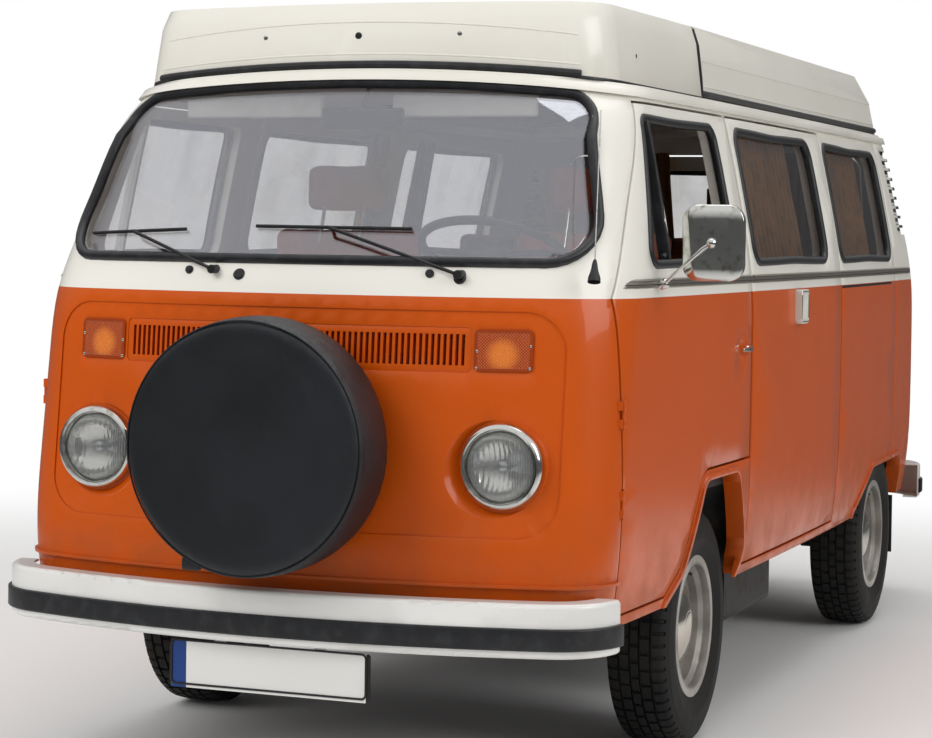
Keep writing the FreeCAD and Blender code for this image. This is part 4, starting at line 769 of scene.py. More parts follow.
# The bumpers are pressed steel sprayed white, each with a black rubber strip along it. Blank
# number plates with a blue end and a black edge hang under the front one and on the engine lid.
bumper_paint = Finish("bumper_paint", Coat_Weight=0.4, Coat_Roughness=0.1)
grime = bumper_paint.noise(7, 6).step(0.45, 0.85)
bumper_paint.feed("Base Color", bumper_paint.mix(grime * 0.5, colour(226, 225, 221), colour(196, 193, 184)))
bumper_paint.feed("Roughness", 0.3 + grime * 0.25)
bumper_paint.relief(bumper_paint.noise(6), 0.1, 0.004)
dress(["front_bumper", "rear_bumper"], bumper_paint, 0.003)
plate = Finish("plate_metal")
plate_x = plate.axis("X")
edge = 1 - abs(plate_x).band(-1, 0.2625, 0.0005)
blue = (plate_x * plate.axis("Y").maths("SIGN", plate.axis("Y")) * -1).band(-0.2625, -0.222, 0.0004)
sheet = plate.mix(blue, colour(224, 223, 219), colour(19, 57, 124))
plate.feed("Base Color", plate.mix(edge, sheet, colour(16, 16, 17)))
plate.feed("Roughness", 0.35 + plate.noise(50) * 0.12)
dress(["plate_front", "plate_rear"], plate, 0.002)
for name, y, low, high in (("plate_front", -2.1788, 0.268, 0.377), ("plate_rear", 2.2568, 0.597, 0.703)):
    corners = [(-0.262, low), (0.262, low), (0.262, high), (-0.262, high)]
    frame_line = [(x, y, z) for x, z in rounded(corners, 0.012)]
    keep(tube(frame_line, 0.0028, True), name + "_edge", plastic, nodes[name]["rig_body"])

# The wheels are pressed steel sprayed silver: a stepped rim with a disc welded into it, a valve,
# and a domed, polished hubcap sprung over the middle. The finish tells them apart by radius, and
# paints the rim's lip a lighter silver as a highlight.
wheel_finish = Finish("wheel_silver")
axle_middle, half_wheelbase, hub_height = 0.15, 1.2, 0.325
from_hub = abs(abs(wheel_finish.axis("Y") - axle_middle) - half_wheelbase)
above_hub = wheel_finish.axis("Z") - hub_height
squared = from_hub * from_hub + above_hub * above_hub
hub_distance = squared.maths("SQRT", squared)
is_cap = 1 - hub_distance.step(0.1155, 0.1165)
# The rim's lip is painted a lighter silver, as a highlight.
lip_highlight = hub_distance.band(0.176, 0.194, 0.001)
brake_dust = wheel_finish.noise(11, 6).step(0.35, 0.8) * (1 - is_cap)
silver_paint = wheel_finish.mix(lip_highlight * 0.7, colour(148, 144, 138), colour(196, 193, 186))
silver_paint = wheel_finish.mix(brake_dust * 0.5, silver_paint, colour(84, 75, 64))
wheel_finish.feed("Base Color", wheel_finish.mix(is_cap, silver_paint, colour(206, 202, 192)))
wheel_finish.feed("Metallic", 0.55 + is_cap * 0.45)
wheel_finish.feed("Roughness", 0.34 + brake_dust * 0.2 - is_cap * 0.24)
rings = (hub_distance.band(0.036, 0.040, 0.001) + hub_distance.band(0.092, 0.094, 0.001)) * 0.8
wheel_finish.relief(wheel_finish.noise(8) * 0.5 - rings, 0.3, 0.002)
wheels = ["wheel_front_left", "wheel_front_right", "wheel_rear_left", "wheel_rear_right"]
dress(wheels, wheel_finish, 0.0008)
for name in wheels:
    low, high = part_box(name)
    side = 1 if low.x > 0 else -1
    hub = Vector((0, (low.y + high.y) / 2, (low.z + high.z) / 2))
    rim_x = high.x if side > 0 else low.x
    stem = Vector((rim_x - side * 0.036, hub.y, hub.z + 0.151))
    valve = [(-0.01, 0.0065), (0.008, 0.0055), (0.012, 0.004), (0.026, 0.004), (0.028, 0.003), (0.028, 0.0)]
    keep(spun(valve, stem, (side, 0, -0.35), 16), name + "_valve", rubber, name)

# Road tyres of moulded rubber: plain walls with a rim bead and two ribs, a tread of three round
# grooves, and cross cuts in the shoulders. Dust and wear pale the walls.
tyre_rubber = Finish("tyre_rubber", Specular_IOR_Level=0.3)
tyre_dust = tyre_rubber.noise(9, 6).step(0.3, 0.8)
tyre_rubber.feed("Base Color", tyre_rubber.mix(tyre_dust, colour(15, 15, 15), colour(38, 36, 33)))
tyre_rubber.feed("Roughness", 0.62 + tyre_dust * 0.25)
tyre_rubber.relief(tyre_rubber.noise(220, 3), 0.25, 0.0008)
half_tyre = [
    (0.0, 0.3235), (0.010, 0.3235), (0.0105, 0.3165), (0.0155, 0.3165), (0.016, 0.3235), (0.040, 0.3228),
    (0.0405, 0.3158), (0.0465, 0.3156), (0.047, 0.3220), (0.0675, 0.3190), (0.0760, 0.3125), (0.0810, 0.3030),
    (0.0855, 0.2880), (0.0862, 0.2875), (0.0872, 0.2800), (0.0890, 0.2600), (0.0895, 0.2450), (0.0888, 0.2380),
    (0.0875, 0.2360), (0.0850, 0.2180), (0.0830, 0.2150), (0.0800, 0.2050), (0.0760, 0.1965), (0.0700, 0.1900),
    (0.0640, 0.1800),
]
tyre_outline = [(-along, radius) for along, radius in reversed(half_tyre[1:])] + half_tyre
for name in wheels:
    low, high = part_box(name.replace("wheel", "tyre"))
    middle = (low + high) / 2
    tyre = spun(tyre_outline, middle, (1, 0, 0), 180)
    shoulder, sipes = [], []
    for face in tyre.faces:
        offset = face.calc_center_median() - middle
        along, radius = abs(offset.x), math.hypot(offset.y, offset.z)
        turn_index = round(math.degrees(math.atan2(offset.z, offset.y)) / 2 - 0.5)
        if 0.047 < along < 0.083 and radius > 0.300 and turn_index % 3 == 0:
            shoulder.append(face)
        elif 0.018 < along < 0.039 and turn_index % 4 == 0:
            sipes.append(face)
        elif along < 0.0104 and radius > 0.32 and turn_index % 4 == 2:
            sipes.append(face)
    bmesh.ops.inset_region(tyre, faces=shoulder, thickness=0.0022, depth=-0.005, use_even_offset=True)
    bmesh.ops.inset_individual(tyre, faces=sipes, thickness=0.0026, depth=-0.005)
    bmesh.ops.recalc_face_normals(tyre, faces=tyre.faces)
    solid_tyre = (name.replace("wheel", "tyre"),)
    keep(tyre, name.replace("wheel", "tread"), tyre_rubber, name, solid_tyre, 30)

# The tail lamps are moulded covers with an amber band over red and a clear band low down, lined
# with prisms. The tailgate has a plated handle, the engine lid a catch, and a lamp lights the plate.
tail_plastic = Finish("tail_lamp_plastic", Coat_Weight=0.5, Coat_Roughness=0.05)
tail_z, tail_x = tail_plastic.axis("Z"), abs(tail_plastic.axis("X"))
cells = tail_z.wave(0.008) * tail_x.wave(0.008)
bands = tail_plastic.mix(tail_z.step(0.893, 0.894), colour(150, 14, 10), colour(206, 96, 18))
bands = tail_plastic.mix(1 - tail_z.step(0.776, 0.777), bands, colour(206, 204, 198))
border = 1 - tail_x.band(0.6165, 0.7235, 0.0004) * tail_z.band(0.7065, 1.0035, 0.0004)
tail_plastic.feed("Base Color", tail_plastic.mix(border, bands, colour(170, 168, 162)))
tail_plastic.feed("Roughness", 0.18 + cells.step(0, 1) * 0.08)
tail_plastic.feed("Metallic", border * 0.9)
tail_plastic.relief(cells * (1 - border) + border * 2, 0.5, 0.001)
dress(["tail_lamps"], tail_plastic, 0.002)
tail = skin("tailgate", "engine_lid", "rear_panel")
for z, half in ((1.090, 0.055), (0.880, 0.038)):
    y = on_end(tail, 1, [(0, z)])[0]
    bar = cuboid((half * 2, 0.016, 0.020))
    bmesh.ops.subdivide_edges(bar, edges=[e for e in bar.edges if e.calc_length() > 0.05], cuts=5)
    for vertex in bar.verts:
        vertex.co.z *= 1 - 0.35 * (vertex.co.x / half) ** 2
        vertex.co.y += 0.008 - 0.006 * (vertex.co.x / half) ** 2
    soften(bar, bar.edges, 0.0025, 2)
    bmesh.ops.translate(bar, verts=bar.verts, vec=(0, y + 0.006, z))
    lock = [(-0.005, 0.011), (0.012, 0.010), (0.014, 0.008), (0.014, 0.0)]
    barrel = spun(lock, (0, y, z - 0.028), (0, 1, 0), 24)
    name, body = ("tailgate_handle", "tailgate") if z > 1 else ("engine_lid_catch", "engine_lid")
    keep(join(bar, barrel), name, chrome, body)
light_y = on_end(tail, 1, [(0, 0.755)])[0]
hood = cuboid((0.13, 0.042, 0.032))
for vertex in hood.verts:
    if vertex.co.y > 0 and vertex.co.z > 0:
        vertex.co.z -= 0.014
soften(hood, hood.edges, 0.007, 3)
bmesh.ops.translate(hood, verts=hood.verts, vec=(0, light_y + 0.012, 0.755))
keep(hood, "plate_lamp_hood", plastic, "engine_lid")

# Under the floor everything is sprayed or dipped black, with road dust: axle tubes, knuckles,
# rails, housings and the tank. The engine is cast and ribbed, its pipes are rusty steel.
chassis = Finish("chassis_black")
rust = chassis.noise(14, 8).step(0.5, 0.75)
chassis.feed("Base Color", chassis.mix(rust, colour(22, 22, 22), colour(66, 57, 48)))
chassis.feed("Roughness", 0.55 + rust * 0.35)
chassis.relief(chassis.noise(90, 5), 0.3, 0.0015)
dress(["front_axle", "rear_axle", "knuckle_left", "knuckle_right", "under_floor_tank"], chassis, 0.002)
dress(["floor_pan"], chassis, 0)
casting = Finish("cast_metal", Metallic=0.8)
casting.feed("Base Color", casting.mix(casting.noise(18, 6), colour(150, 150, 146), colour(92, 88, 82)))
casting.feed("Roughness", 0.45 + casting.noise(60) * 0.25)
fins = casting.axis("Z").wave(0.018) * casting.axis("Z").band(0.36, 0.60, 0.01)
casting.relief(fins * 2 + casting.noise(260, 3) * 0.4, 0.6, 0.003)
dress(["engine"], casting, 0.006)
pulley = [
    (0.0, 0.0), (0.0, 0.025), (0.012, 0.03), (0.012, 0.072), (0.016, 0.078), (0.022, 0.072),
    (0.028, 0.078), (0.031, 0.072), (0.031, 0.03), (0.024, 0.02), (0.024, 0.0),
]
fan_drum = [(-0.16, 0.0), (-0.16, 0.105), (-0.005, 0.105), (0.0, 0.098)]
fan_drum += [(0.0, 0.05), (-0.02, 0.045), (-0.02, 0.0)]
turned = ((pulley, (0.0, 2.070, 0.43)), (fan_drum, (-0.12, 2.068, 0.640)))
trims = [spun(outline, spot, (0, 1, 0), 48) for outline, spot in turned]
keep(join(*trims), "engine_pulley_and_fan", casting, "van")
pipe = Finish("exhaust_steel", Metallic=0.7)
scale_rust = pipe.noise(20, 8).step(0.35, 0.7)
pipe.feed("Base Color", pipe.mix(scale_rust, colour(120, 112, 104), colour(98, 60, 36)))
pipe.feed("Roughness", 0.4 + scale_rust * 0.4)
pipe.relief(pipe.noise(120, 4), 0.3, 0.001)
dress(["exhaust"], pipe, 0.002)


# The front seats are sprung frames padded and covered in orange woven cloth, with a loose head
# restraint on two posts. Each pad is blown up from its cut shape and then drawn in by its seams.
def stuffed(low, high, voxel, swell, lean=0.0):
    """A pad that fills the space between two corners and leans back by lean, as a bmesh."""
    low, high = Vector(low), Vector(high)
    block = cuboid(high - low - Vector((1, 1, 1)) * swell)
    corner = {"offset": min(high - low) * 0.25, "segments": 4, "profile": 0.5, "material": -1}
    bmesh.ops.bevel(block, geom=block.edges, affect="EDGES", **corner)
    bmesh.ops.translate(block, verts=block.verts, vec=(low + high) / 2)
    for vertex in block.verts:
        vertex.co.y += lean * (vertex.co.z - low.z)
    cut = bpy.data.meshes.new("cut")
    block.to_mesh(cut)
    holder = bpy.data.objects.new("pad", cut)
    bpy.context.scene.collection.objects.link(holder)
    grid = holder.modifiers.new("grid", "REMESH")
    grid.mode, grid.voxel_size = "VOXEL", voxel
    cut = bpy.data.meshes.new_from_object(holder.evaluated_get(bpy.context.evaluated_depsgraph_get()))
    holder.modifiers.remove(grid)
    holder.data = cut
    cloth = holder.modifiers.new("cloth", "CLOTH")
    cloth.settings.use_pressure = True
    cloth.settings.uniform_pressure_force = 4
    cloth.settings.effector_weights.gravity = 0
    cloth.point_cache.frame_end = 20
    for moment in range(1, 21):
        bpy.context.scene.frame_set(moment)
    blown = bpy.data.meshes.new_from_object(holder.evaluated_get(bpy.context.evaluated_depsgraph_get()))
    for vertex, start in zip(blown.vertices, cut.vertices):
        move = vertex.co - start.co
        vertex.co = start.co + move * min(1, swell / max(move.length, 1e-6))
    bpy.context.scene.frame_set(1)
    cut = blown
    bpy.data.objects.remove(holder)
    block.clear()
    block.from_mesh(cut)
    axes = {"use_axis_x": True, "use_axis_y": True, "use_axis_z": True}
    bmesh.ops.smooth_vert(block, verts=block.verts, factor=0.5, **axes)
    return block


def channels(pad, axis, places, depth, width=0.009):
    """Draw a pad in along lines across an axis, as a row of stitches does."""
    pad.normal_update()
    moves = []
    for vertex in pad.verts:
        near = min(abs(vertex.co[axis] - place) for place in places)
        moves.append(vertex.normal * depth * math.exp(-((near / width) ** 2)))
    for vertex, move in zip(pad.verts, moves):
        vertex.co -= move


def upholster(pad, name, finish, stands_for):
    """Make a pad a finished piece that rides on the van, and stands for a solid of the frame."""
    made = keep(pad, name, finish, "van", stands_for, 180)
    finer = made.modifiers.new("finer", "SUBSURF")
    finer.levels = finer.render_levels = 1


cloth_finish = Finish("orange_cloth", Sheen_Weight=0.25)
threads = cloth_finish.axis("X").wave(0.0032) * cloth_finish.axis("Y").wave(0.0032)
threads = threads * cloth_finish.axis("Z").wave(0.0032)
wear = cloth_finish.noise(6, 5)
bright, worn = colour(196, 88, 22), colour(150, 62, 16)
cloth_finish.feed("Base Color", cloth_finish.mix(wear.step(0.3, 0.75), bright, worn))
cloth_finish.feed("Roughness", 0.8 + wear * 0.12)
cloth_finish.relief(threads + cloth_finish.noise(500, 2), 0.4, 0.0008)
post_line = [(0, -0.862, 1.36), (0, -0.835, 1.43), (0, -0.812, 1.50)]
for side, word in ((1, "left"), (-1, "right")):
    middle = 0.385 * side
    parts = (
        ("cushion", (-0.25, -1.378, 0.744), (0.25, -0.925, 0.872), 0.0, 0.7),
        ("back", (-0.245, -0.908, 0.800), (0.245, -0.800, 1.425), 0.125, 0.6),
        ("head_rest", (-0.13, -0.842, 1.455), (0.13, -0.762, 1.603), 0.03, 0.8),
    )
    for part, low, high, lean, fill in parts:
        low, high = Vector(low) + Vector((middle, 0, 0)), Vector(high) + Vector((middle, 0, 0))
        pad = stuffed(low, high, 0.012, 0.014, lean)
        if part != "head_rest":
            channels(pad, 0, [middle + spot for spot in (-0.165, -0.0825, 0.0, 0.0825, 0.165)], 0.006)
        upholster(pad, "seat_{}_{}".format(part, word), cloth_finish, ("front_seats",))
    posts = [tube([(middle + spot, y, z) for _, y, z in post_line], 0.006) for spot in (-0.065, 0.065)]
    keep(join(*posts), "seat_posts_" + word, chrome, "van")

# The bench behind is a board box with a foam seat and back, and a mattress lies on the deck over
# the engine. All three are covered in a checked brown and orange furnishing cloth.
check_finish = Finish("checked_cloth", Sheen_Weight=0.2)
stripes = check_finish.axis("X").wave(0.12).step(-0.1, 0.1) * 0.5
bars = (check_finish.axis("Y") + check_finish.axis("Z")).wave(0.12).step(-0.1, 0.1) * 0.5
check_finish.feed("Base Color", check_finish.mix(stripes + bars, colour(170, 92, 40), colour(96, 58, 32)))
check_finish.feed("Roughness", 0.82 + check_finish.noise(20) * 0.1)
check_finish.relief(check_finish.noise(420, 2), 0.4, 0.001)
parts = (
    ("bench_seat", (-0.656, 0.384, 0.784), (0.326, 0.812, 0.888), [-0.33, 0.0]),
    ("bench_back", (-0.656, 0.829, 0.890), (0.326, 0.931, 1.408), [-0.33, 0.0]),
    ("mattress", (-0.556, 0.949, 0.934), (0.556, 2.026, 1.023), [-0.28, 0.0, 0.28]),
)
for name, low, high, seams in parts:
    pad = stuffed(low, high, 0.016, 0.012)
    channels(pad, 0, seams, 0.006, 0.012)
    upholster(pad, name, check_finish, ("rear_bench",))

# Lined brown curtains hang from a wire over the side and tail windows. They are drawn
# across the left side's windows, and pushed to the sides of the right ones and the tailgate's.
curtain_cloth = Finish("curtain_cloth", Sheen_Weight=0.2)
print_marks = curtain_cloth.noise(16, 3).step(0.52, 0.58)
woven, printed = colour(142, 100, 56), colour(92, 70, 42)
curtain_cloth.feed("Base Color", curtain_cloth.mix(print_marks * 0.5, woven, printed))
curtain_cloth.feed("Roughness", 0.85 + curtain_cloth.noise(30) * 0.1)
curtain_cloth.relief(curtain_cloth.noise(600, 2), 0.3, 0.0006)


def curtain(name, spots, folds, deep, body):
    """A gathered sheet from one spot (x, y) to another, on a wire over its window."""
    start, across = Vector((*spots[0], 0)), Vector((*spots[1], 0)) - Vector((*spots[0], 0))
    outward = across.normalized().cross(Vector((0, 0, 1)))
    is_side = abs(across.y) > abs(across.x)
    lean = Vector((math.copysign(0.19, -start.x), 0, 0)) if is_side else Vector((0, -0.27, 0))
    ends = [start + across * share + lean * 0.425 + Vector((0, 0, 1.725)) for share in (-0.02, 1.02)]
    wire = keep(tube(ends, 0.0018), name + "_wire", chrome, body)
    sheet = bmesh.new()
    columns, rows = folds * 8, 12
    ribs = []
    for column in range(columns + 1):
        share = column / columns
        ribs.append([])
        for row in range(rows + 1):
            turned = share * folds * 2 * math.pi + 0.4 * math.sin(row * 0.5)
            fold = (deep - deep * 0.4 * row / rows) * math.sin(turned)
            height = 0.455 * row / rows
            spot = start + across * share + outward * fold + lean * (height - 0.025)
            ribs[-1].append(sheet.verts.new(spot + Vector((0, 0, 1.275 + height))))
    for rib, following in zip(ribs, ribs[1:]):
        for a, b, c, d in zip(rib, rib[1:], following[1:], following):
            sheet.faces.new((a, d, c, b))
    made = keep(sheet, name, curtain_cloth, body, (), 180)
    thick = made.modifiers.new("cloth", "SOLIDIFY")
    thick.thickness = 0.001


for name, spots, folds, deep, body, cut_width in (
    ("curtain_mid_left", ((0.770, -0.62), (0.770, 0.27)), 16, 0.011, "van", 1.15),
    ("curtain_rear_left", ((0.758, 0.945), (0.750, 1.47)), 10, 0.011, "van", 0.70),
    ("curtain_mid_right", ((-0.764, 0.28), (-0.764, 0.12)), 7, 0.015, "van", 0.45),
    ("curtain_rear_right", ((-0.764, 0.72), (-0.764, 0.56)), 7, 0.015, "van", 0.45),
    ("curtain_tail_left", ((0.50, 2.100), (0.17, 2.118)), 9, 0.011, "tailgate", 0.52),
    ("curtain_tail_right", ((-0.17, 2.118), (-0.50, 2.100)), 9, 0.011, "tailgate", 0.52),
):
    curtain(name, spots, folds, deep, body)

# The dashboard is a black padded shelf with three round dials under a hood before the driver, a
# radio opening, a glovebox and a grab handle. Over it hang the mirror and two visors.
dress(["dashboard"], plastic, 0.002)
dial_face = Finish("dial_face")
dial_face.feed("Base Color", dial_face.mix(dial_face.noise(40), colour(20, 20, 21), colour(30, 30, 31)))
dial_face.feed("Roughness", 0.25 + dial_face.noise(90) * 0.1)
rings, faces = [], []
dial_front, dial_level = -1.8402, 1.226
for x, radius in ((0.265, 0.042), (0.385, 0.050), (0.505, 0.042)):
    bezel = [(0.0, radius), (0.005, radius), (0.0055, radius - 0.003), (0.002, radius - 0.004)]
    rings.append(spun(bezel, (x, dial_front, dial_level), (0, 1, 0), 48))
    dial = [(0.001, radius - 0.003), (0.001, 0.004), (0.004, 0.004), (0.004, 0.0)]
    faces.append(spun(dial, (x, dial_front, dial_level), (0, 1, 0), 48))
keep(join(*rings), "dial_rings", chrome, "van")
keep(join(*faces), "dial_faces", dial_face, "van")


def panel(low, high, edge=0.004):
    """A block between two corners with rounded edges, as a bmesh."""
    low, high = Vector(low), Vector(high)
    block = cuboid(high - low)
    soften(block, block.edges, edge, 3)
    bmesh.ops.translate(block, verts=block.verts, vec=(low + high) / 2)
    return block


fittings = [
    panel((-0.62, -1.843, 1.182), (-0.28, -1.836, 1.272)),
    panel((-0.10, -1.843, 1.200), (0.10, -1.834, 1.262)),
    panel((-0.56, -1.836, 1.274), (-0.34, -1.824, 1.290)),
]
keep(join(*fittings), "dash_fittings", plastic, "van")
turned_knob = [(0, 0.012), (0.012, 0.011), (0.014, 0.008), (0.014, 0)]
knobs = [spun(turned_knob, (x, -1.836, 1.231), (0, 1, 0), 24) for x in (-0.075, 0.075)]
keep(join(*knobs), "radio_knobs", chrome, "van")
mirror_glass = panel((-0.075, -1.716, 1.668), (0.155, -1.700, 1.722), 0.007)
stalk = tube([(0.04, -1.704, 1.72), (0.04, -1.672, 1.775)], 0.006)
keep(join(mirror_glass, stalk), "inner_mirror", plastic, "van")
visors = [panel((x, -1.655, 1.700), (x + 0.40, -1.637, 1.762), 0.008) for x in (0.10, -0.50)]
keep(join(*visors), "sun_visors", pale_plastic, "van")

# A long gear lever with a round knob rises from the cab floor between the seats, beside the
# hand brake's rod.
lever_line = [(0.02, -1.50, 0.46), (0.02, -1.46, 0.60), (0.03, -1.42, 0.74)]
grip = [(-0.022, 0.0), (-0.02, 0.012), (0.0, 0.021), (0.016, 0.016), (0.022, 0.0)]
grip = spun(grip, (0.031, -1.413, 0.755), (0, 0.3, 1), 24)
keep(join(tube(lever_line, 0.006), grip), "gear_lever", plastic, "van")

# The living space has board units with a wood-grain laminate: a kitchen under a worktop, with a
# hob and a sink let into it, and a wardrobe. Their doors overlap the fronts and have knobs.
laminate = Finish("wood_laminate", Coat_Weight=0.2, Coat_Roughness=0.2)
grain_lines = laminate.noise(26, 6, (3, 3, 0.12))
light_wood, dark_wood = colour(150, 106, 62), colour(98, 64, 36)
laminate.feed("Base Color", laminate.mix(grain_lines.step(0.35, 0.68), light_wood, dark_wood))
laminate.feed("Roughness", 0.42 + grain_lines * 0.15)
laminate.relief(grain_lines, 0.15, 0.0006)
dress(["cabinets"], laminate, 0.002)
doors = [
    panel((-0.3405, -0.590, 0.52), (-0.326, -0.405, 1.10)),
    panel((-0.3405, -0.390, 0.52), (-0.326, -0.205, 1.10)),
    panel((0.364, 0.565, 0.52), (0.3805, 0.915, 1.56)),
    panel((-0.62, 0.365, 0.52), (-0.20, 0.3795, 0.72)),
    panel((-0.18, 0.365, 0.52), (0.29, 0.3795, 0.72)),
]
keep(join(*doors), "cabinet_doors", laminate, "van")
knob = [(0.0, 0.006), (0.008, 0.006), (0.012, 0.012), (0.018, 0.012), (0.021, 0.008), (0.022, 0.0)]
knob_spots = (((-0.327, -0.425, 0.90), 1), ((-0.327, -0.370, 0.90), 1), ((0.3645, 0.60, 1.05), -1))
knobs = [spun(knob, spot, (way, 0, 0), 24) for spot, way in knob_spots]
keep(join(*knobs), "cabinet_knobs", chrome, "van")
burner = [(0.0, 0.055), (0.008, 0.053), (0.010, 0.045), (0.010, 0.030), (0.016, 0.026), (0.016, 0.0)]
hob = panel((-0.66, -0.59, 1.1795), (-0.40, -0.41, 1.187), 0.003)
burners = [spun(burner, (x, -0.50, 1.184), (0, 0, 1), 32) for x in (-0.60, -0.465)]
keep(join(hob, *burners), "hob", chrome, "van")
sink = panel((-0.66, -0.385, 1.1795), (-0.40, -0.205, 1.184), 0.002)
top = max(sink.faces, key=lambda f: f.calc_center_median().z)
bmesh.ops.inset_region(sink, faces=[top], thickness=0.018, depth=0)
bmesh.ops.inset_region(sink, faces=[top], thickness=0.004, depth=-0.003)
spout = [(-0.68, -0.295, 1.181), (-0.68, -0.295, 1.28), (-0.62, -0.295, 1.30), (-0.56, -0.295, 1.27)]
tap = tube(spout, 0.007)
keep(join(sink, tap), "sink_and_tap", chrome, "van")

# The living space's floor is covered by a sheet of brown vinyl, printed in squares and glued.
floor_vinyl = Finish("floor_vinyl")
tiles = (floor_vinyl.axis("X").wave(0.2) * floor_vinyl.axis("Y").wave(0.2)).step(-0.02, 0.02)
floor_vinyl.feed("Base Color", floor_vinyl.mix(tiles, colour(128, 96, 66), colour(104, 76, 50)))
floor_vinyl.feed("Roughness", 0.45 + floor_vinyl.noise(12, 5) * 0.2)
dress(["floor_mat"], floor_vinyl, 0.001)

# The tilting top's canvas wall is a ring gathered in level pleats between the roof and the top.
# The pleats are deepest in front, where the wall stands highest when the top is up.
canvas = Finish("tent_canvas", Sheen_Weight=0.15)
canvas_threads = canvas.axis("X").wave(0.003) + canvas.axis("Y").wave(0.003) + canvas.axis("Z").wave(0.003)
stains = canvas.noise(5, 5)
canvas.feed("Base Color", canvas.mix(stains.step(0.35, 0.75), colour(214, 122, 52), colour(184, 98, 40)))
canvas.feed("Roughness", 0.84 + stains * 0.1)
canvas.relief(canvas_threads, 0.3, 0.0006)
roof_skin = skin("roof_panel")
plan = rounded([(-0.543, -0.653), (0.543, -0.653), (0.543, 1.423), (-0.543, 1.423)], 0.06, 0.06)
pleats, fold_low, fold_high, pivot_y = 34, 1.829, 1.868, 1.925
ring_rows = []
for x, y in plan:
    out = Vector((x, y)) - Vector((max(-0.46, min(0.46, x)), max(-0.57, min(1.34, y))))
    out.normalize()
    deep = 0.0055 + 0.0085 * (pivot_y - y) / (pivot_y + 0.653)
    base = roof_skin.ray_cast(Vector((x, y, 3)), Vector((0, 0, -1)))[0].z
    spots = [(x, y, base + 0.002)]
    for pleat in range(pleats + 1):
        push = deep if pleat % 2 else -deep
        z = fold_low + (fold_high - fold_low) * pleat / pleats
        spots.append((x + out.x * push, y + out.y * push, z))
    spots.append((x, y, min(base + 0.068, 1.892)))
    ring_rows.append(spots)
tent = bmesh.new()
columns = [[tent.verts.new(spot) for spot in spots] for spots in ring_rows]
for column, following in zip(columns, [*columns[1:], columns[0]]):
    for a, b, c, d in zip(column, column[1:], following[1:], following):
        tent.faces.new((a, d, c, b))
bmesh.ops.recalc_face_normals(tent, faces=tent.faces)
tent_mesh = bpy.data.meshes.new("tent_wall")
tent.to_mesh(tent_mesh)
tent.free()
tent_mesh.materials.append(canvas.material)
tent_wall = bpy.data.objects.new("tent_wall", tent_mesh)
bpy.context.scene.collection.objects.link(tent_wall)
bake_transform(tent_wall)
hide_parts("tent_fabric")


# Lines are pressed into the sides of the luggage tray and the tilting top: one half-way up, which
# rises with the crown of the front, and one along the foot. Screws hold the tray to its frame.
def pressed_line(names, middle, angles, height, name, body, rise=0.0, radius=0.0032, finish=roof_paint):
    """A round bead half sunk in the outside of a pressing, seen from its middle by angles."""
    surface = skin(*names)
    line = []
    for angle in angles:
        way = Vector((math.sin(angle), -math.cos(angle), 0))
        z = height + rise
        for _ in range(3):
            starts = (Vector((*middle, z + lift / 500)) + way * 5 for lift in range(20))
            casts = (surface.ray_cast(start, -way)[0] for start in starts)
            found = next(cast for cast in casts if cast is not None)
            z = height + rise * (1 - min(1, abs(found.x) / 0.66) ** 2)
        line.append(found - way * 0.0008)
    keep(tube(line, radius, False, 2), name, finish, body)


tray_turns = [math.radians(turn / 2) for turn in range(-112, 113)]
pressed_line(["roof_tray"], (0, -1.20), tray_turns, 1.904, "tray_line", "van", 0.046)
pressed_line(["roof_tray"], (0, -1.20), tray_turns, 1.829, "tray_foot_line", "van", 0.036)
pressed_line(["roof_tray"], (0, -1.20), tray_turns, 1.806, "tray_foot_rubber", "van", 0.031, 0.0105, rubber)
for side, word in ((1, "left"), (-1, "right")):
    turns = [math.atan2(side * 0.66, 0.6 - y / 20) for y in range(-24, 50)]
    for z, kind in ((1.908, "line"), (1.832, "foot_line")):
        pressed_line(["pop_top"], (0, 0.6), turns, z, "top_{}_{}".format(kind, word), "pop_top")
    pressed_line(["pop_top"], (0, 0.6), turns, 1.809, "top_foot_rubber_" + word, "pop_top", 0, 0.0105, rubber)
tray = skin("roof_tray")
screws([(-0.2631, 1.9127), (0.2873, 1.9155)], tray, 0.0065, "tray_screws", chrome, "van")
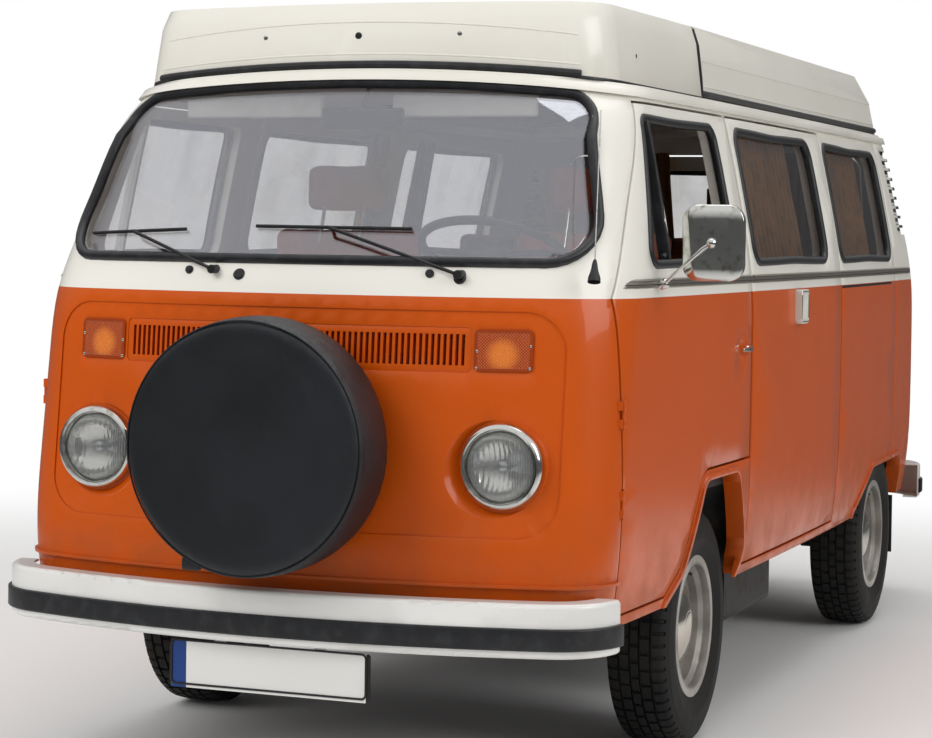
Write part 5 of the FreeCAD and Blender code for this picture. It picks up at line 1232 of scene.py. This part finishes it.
screws([(0.011, 1.9128)], tray, 0.0095, "tray_plug", plastic, "van")
heads = []
for side in (1, -1):
    x = on_side(tray, side, [(-1.335, 1.8746)])[0]
    dome_head = [(-0.001, 0.0065), (0.001, 0.0065), (0.002, 0.004), (0.0022, 0.0)]
    heads.append(spun(dome_head, (x, -1.335, 1.8746), (side, 0, 0), 16))
keep(join(*heads), "tray_side_screws", chrome, "van")

# A soft rubber section fills the seam between the tray and the tilting top, from one gutter over
# the roof to the other.
seam = []
for turn in range(-98, 99, 4):
    way = Vector((math.sin(math.radians(turn)), 0, math.cos(math.radians(turn))))
    found = tray.ray_cast(Vector((0, -0.752, 1.85)) + way * 3, -way)[0]
    if found is not None and found.z > 1.80:
        seam.append((found.x, -0.7375, found.z + 0.001 * way.z))
keep(tube(seam, 0.0065, False, 2), "tray_seam_rubber", rubber, "van")

# The slots of the engine's air intakes begin on the flat of each rear pillar, just behind the
# window, and run on round the corner as pockets, painted black as the shade inside them. Their
# front ends are thin black plates on the skin here, painted as the shade of the slots, and
# aren't recessed into it.
pillar_names = {1: "side_frame_left", -1: "side_frame_right"}
pocket_start = 1.8535
for side, word in ((1, "left"), (-1, "right")):
    pillar = skin("rear_panel", pillar_names[side])
    # Each slot's front end is a thin black plate, painted as the shade in the slot.
    ends = bmesh.new()
    for level in [louvre_low + 0.0005 + louvre_pitch * count for count in range(9)]:
        front = 1.795 + (1.727 - level) * 0.1
        reach = (pocket_start - front) / 3
        for y in [front + reach * step for step in range(3)]:
            high = level + louvre_height
            places = [(y, level), (y + reach, level), (y + reach, high), (y, high)]
            depths = on_side(pillar, side, places, 0.0006)
            ends.faces.new([ends.verts.new((x, *place)) for x, place in zip(depths, places)])
    bmesh.ops.remove_doubles(ends, verts=ends.verts, dist=1e-5)
    bmesh.ops.recalc_face_normals(ends, faces=ends.faces)
    slot_shade_plates = keep(ends, "intake_shade_plates_" + word, shade_black, "van")
    plate_depth = slot_shade_plates.modifiers.new("depth", "SOLIDIFY")
    plate_depth.thickness, plate_depth.offset = 0.001, 0
